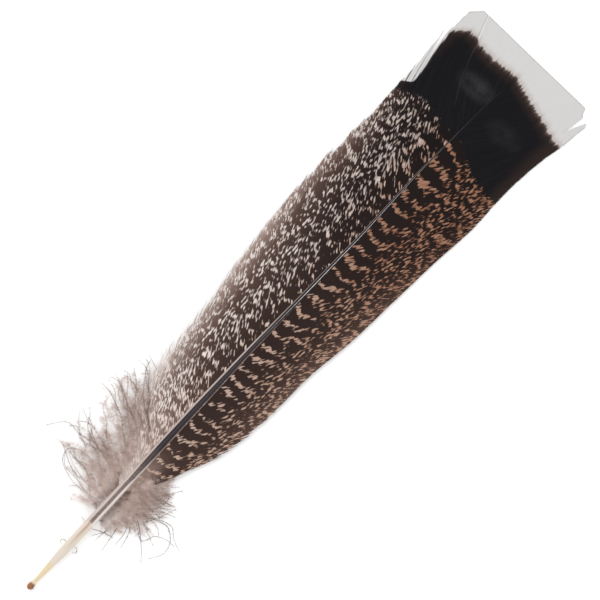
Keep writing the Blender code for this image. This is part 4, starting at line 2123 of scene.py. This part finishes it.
def make_tufts(line: ShaftLine) -> tuple[Tuft, Tuft]:
    """Sets out the two tufts of down.

    Args:
        line: The shaft's line.

    Returns:
        The left tuft and the right one.
    """
    left = Tuft(
        name="down_left_barbs",
        node="down_left",
        side=Side.LEFT,
        line=line,
        count=158,
        roots=(46.5, 90.0),
        heading=((46.5, 60.0), (49.0, 98.0), (54.0, 74.0), (60.0, 58.0), (70.0, 48.0), (88.0, 46.0)),
        turn=((49.0, -20.0), (56.0, 10.0), (70.0, 22.0), (88.0, 12.0)),
        length=(
            (46.5, 6.0), (49.0, 12.0), (54.0, 27.0), (60.0, 32.0), (70.0, 39.0), (80.0, 36.0), (88.0, 33.0),
        ),
        under=((49.0, 0.0), (64.0, 0.0), (72.0, 5.0), (80.0, 10.0), (90.0, 14.0)),
        strands=(
            ((-18.0, 62.0), (-25.0, 61.5), (-30.5, 58.0), (-29.0, 53.0), (-22.0, 49.5), (-14.0, 48.5)),
            ((-4.0, 54.0), (-12.0, 52.5), (-20.0, 53.5), (-28.0, 56.0)),
            ((-3.0, 51.0), (-10.0, 49.5), (-18.0, 51.0), (-27.0, 52.0), (-30.0, 55.0)),
            ((-22.0, 68.0), (-30.0, 72.0), (-38.5, 76.0)),
            ((-24.0, 64.0), (-31.0, 66.5), (-39.0, 74.0)),
            ((-26.0, 86.0), (-33.0, 89.0), (-40.5, 90.0)),
            ((-26.0, 90.0), (-31.0, 94.0), (-36.0, 95.5), (-39.0, 94.0), (-38.0, 92.0)),
            ((-25.0, 98.0), (-30.0, 100.0), (-35.5, 99.5)),
            ((-24.0, 104.0), (-30.0, 108.5), (-35.5, 109.0)),
            ((-22.0, 110.0), (-29.0, 112.5), (-33.5, 114.0)),
            ((-1.9, 27.0), (-3.6, 27.5), (-4.6, 26.0), (-3.4, 25.2)),
        ),
        seed=21,
    )
    right = Tuft(
        name="down_right_barbs",
        node="down_right",
        side=Side.RIGHT,
        line=line,
        count=230,
        roots=(44.5, 70.0),
        heading=((44.5, 90.0), (48.0, 100.0), (54.0, 84.0), (62.0, 68.0), (70.0, 48.0)),
        turn=((44.5, 40.0), (48.0, 10.0), (58.0, -10.0), (70.0, -14.0)),
        length=((44.5, 5.0), (48.0, 8.5), (52.0, 14.0), (58.0, 21.0), (64.0, 21.0), (70.0, 13.0)),
        under=((46.0, 0.0), (70.0, 0.0)),
        strands=(
            ((15.0, 62.0), (17.2, 67.0), (18.0, 76.4)),
            ((12.0, 68.0), (16.3, 73.5), (19.5, 74.4)),
            ((17.0, 57.0), (19.8, 62.5), (23.3, 72.0)),
            ((14.0, 63.0), (17.5, 67.0), (23.8, 69.8)),
            ((15.0, 58.0), (19.5, 62.0), (28.0, 65.0), (32.8, 61.0), (37.8, 59.0)),
            ((20.0, 62.0), (26.0, 63.5), (31.8, 59.0), (33.3, 54.0), (30.0, 47.0)),
            ((12.0, 58.0), (17.8, 54.3), (22.3, 50.3), (28.8, 43.3)),
            ((18.0, 53.0), (22.3, 51.0), (24.8, 56.5), (29.8, 58.9), (35.0, 59.0)),
            ((11.0, 54.0), (13.8, 48.8), (15.0, 41.0)),
            ((13.0, 54.0), (15.8, 48.8), (17.5, 41.8)),
            ((8.0, 53.0), (10.3, 46.0), (12.3, 34.5)),
            ((5.0, 50.0), (7.2, 44.0), (6.8, 36.5)),
            ((2.0, 44.0), (4.6, 46.2), (7.4, 44.0), (4.2, 37.0)),
            ((11.8, 43.0), (7.0, 41.8), (1.0, 39.0), (-5.0, 40.0)),
            ((1.6, 28.0), (3.6, 28.2), (4.6, 26.4), (3.0, 25.4)),
        ),
        seed=22,
    )
    return left, right


def main() -> None:
    """Builds the feather and its studio, and reports each piece."""
    logging.basicConfig(level=logging.INFO, format="%(name)s: %(message)s")
    line = ShaftLine.read("shaft")
    Studio().build(line)
    effects = Effects.make()
    Shaft(line).build(HornFinish().make(effects))
    left, right = make_left_vane(line), make_right_vane(line)
    left_finish = replace(LEFT_FINISH, crease=left.root_through(CREASE_AT))
    left.build(left_finish.make(effects))
    right.build(RIGHT_FINISH.make(effects))
    down = DownFinish().make(effects)
    for tuft in make_tufts(line):
        tuft.build(down)


if __name__ == "__main__":
    main()
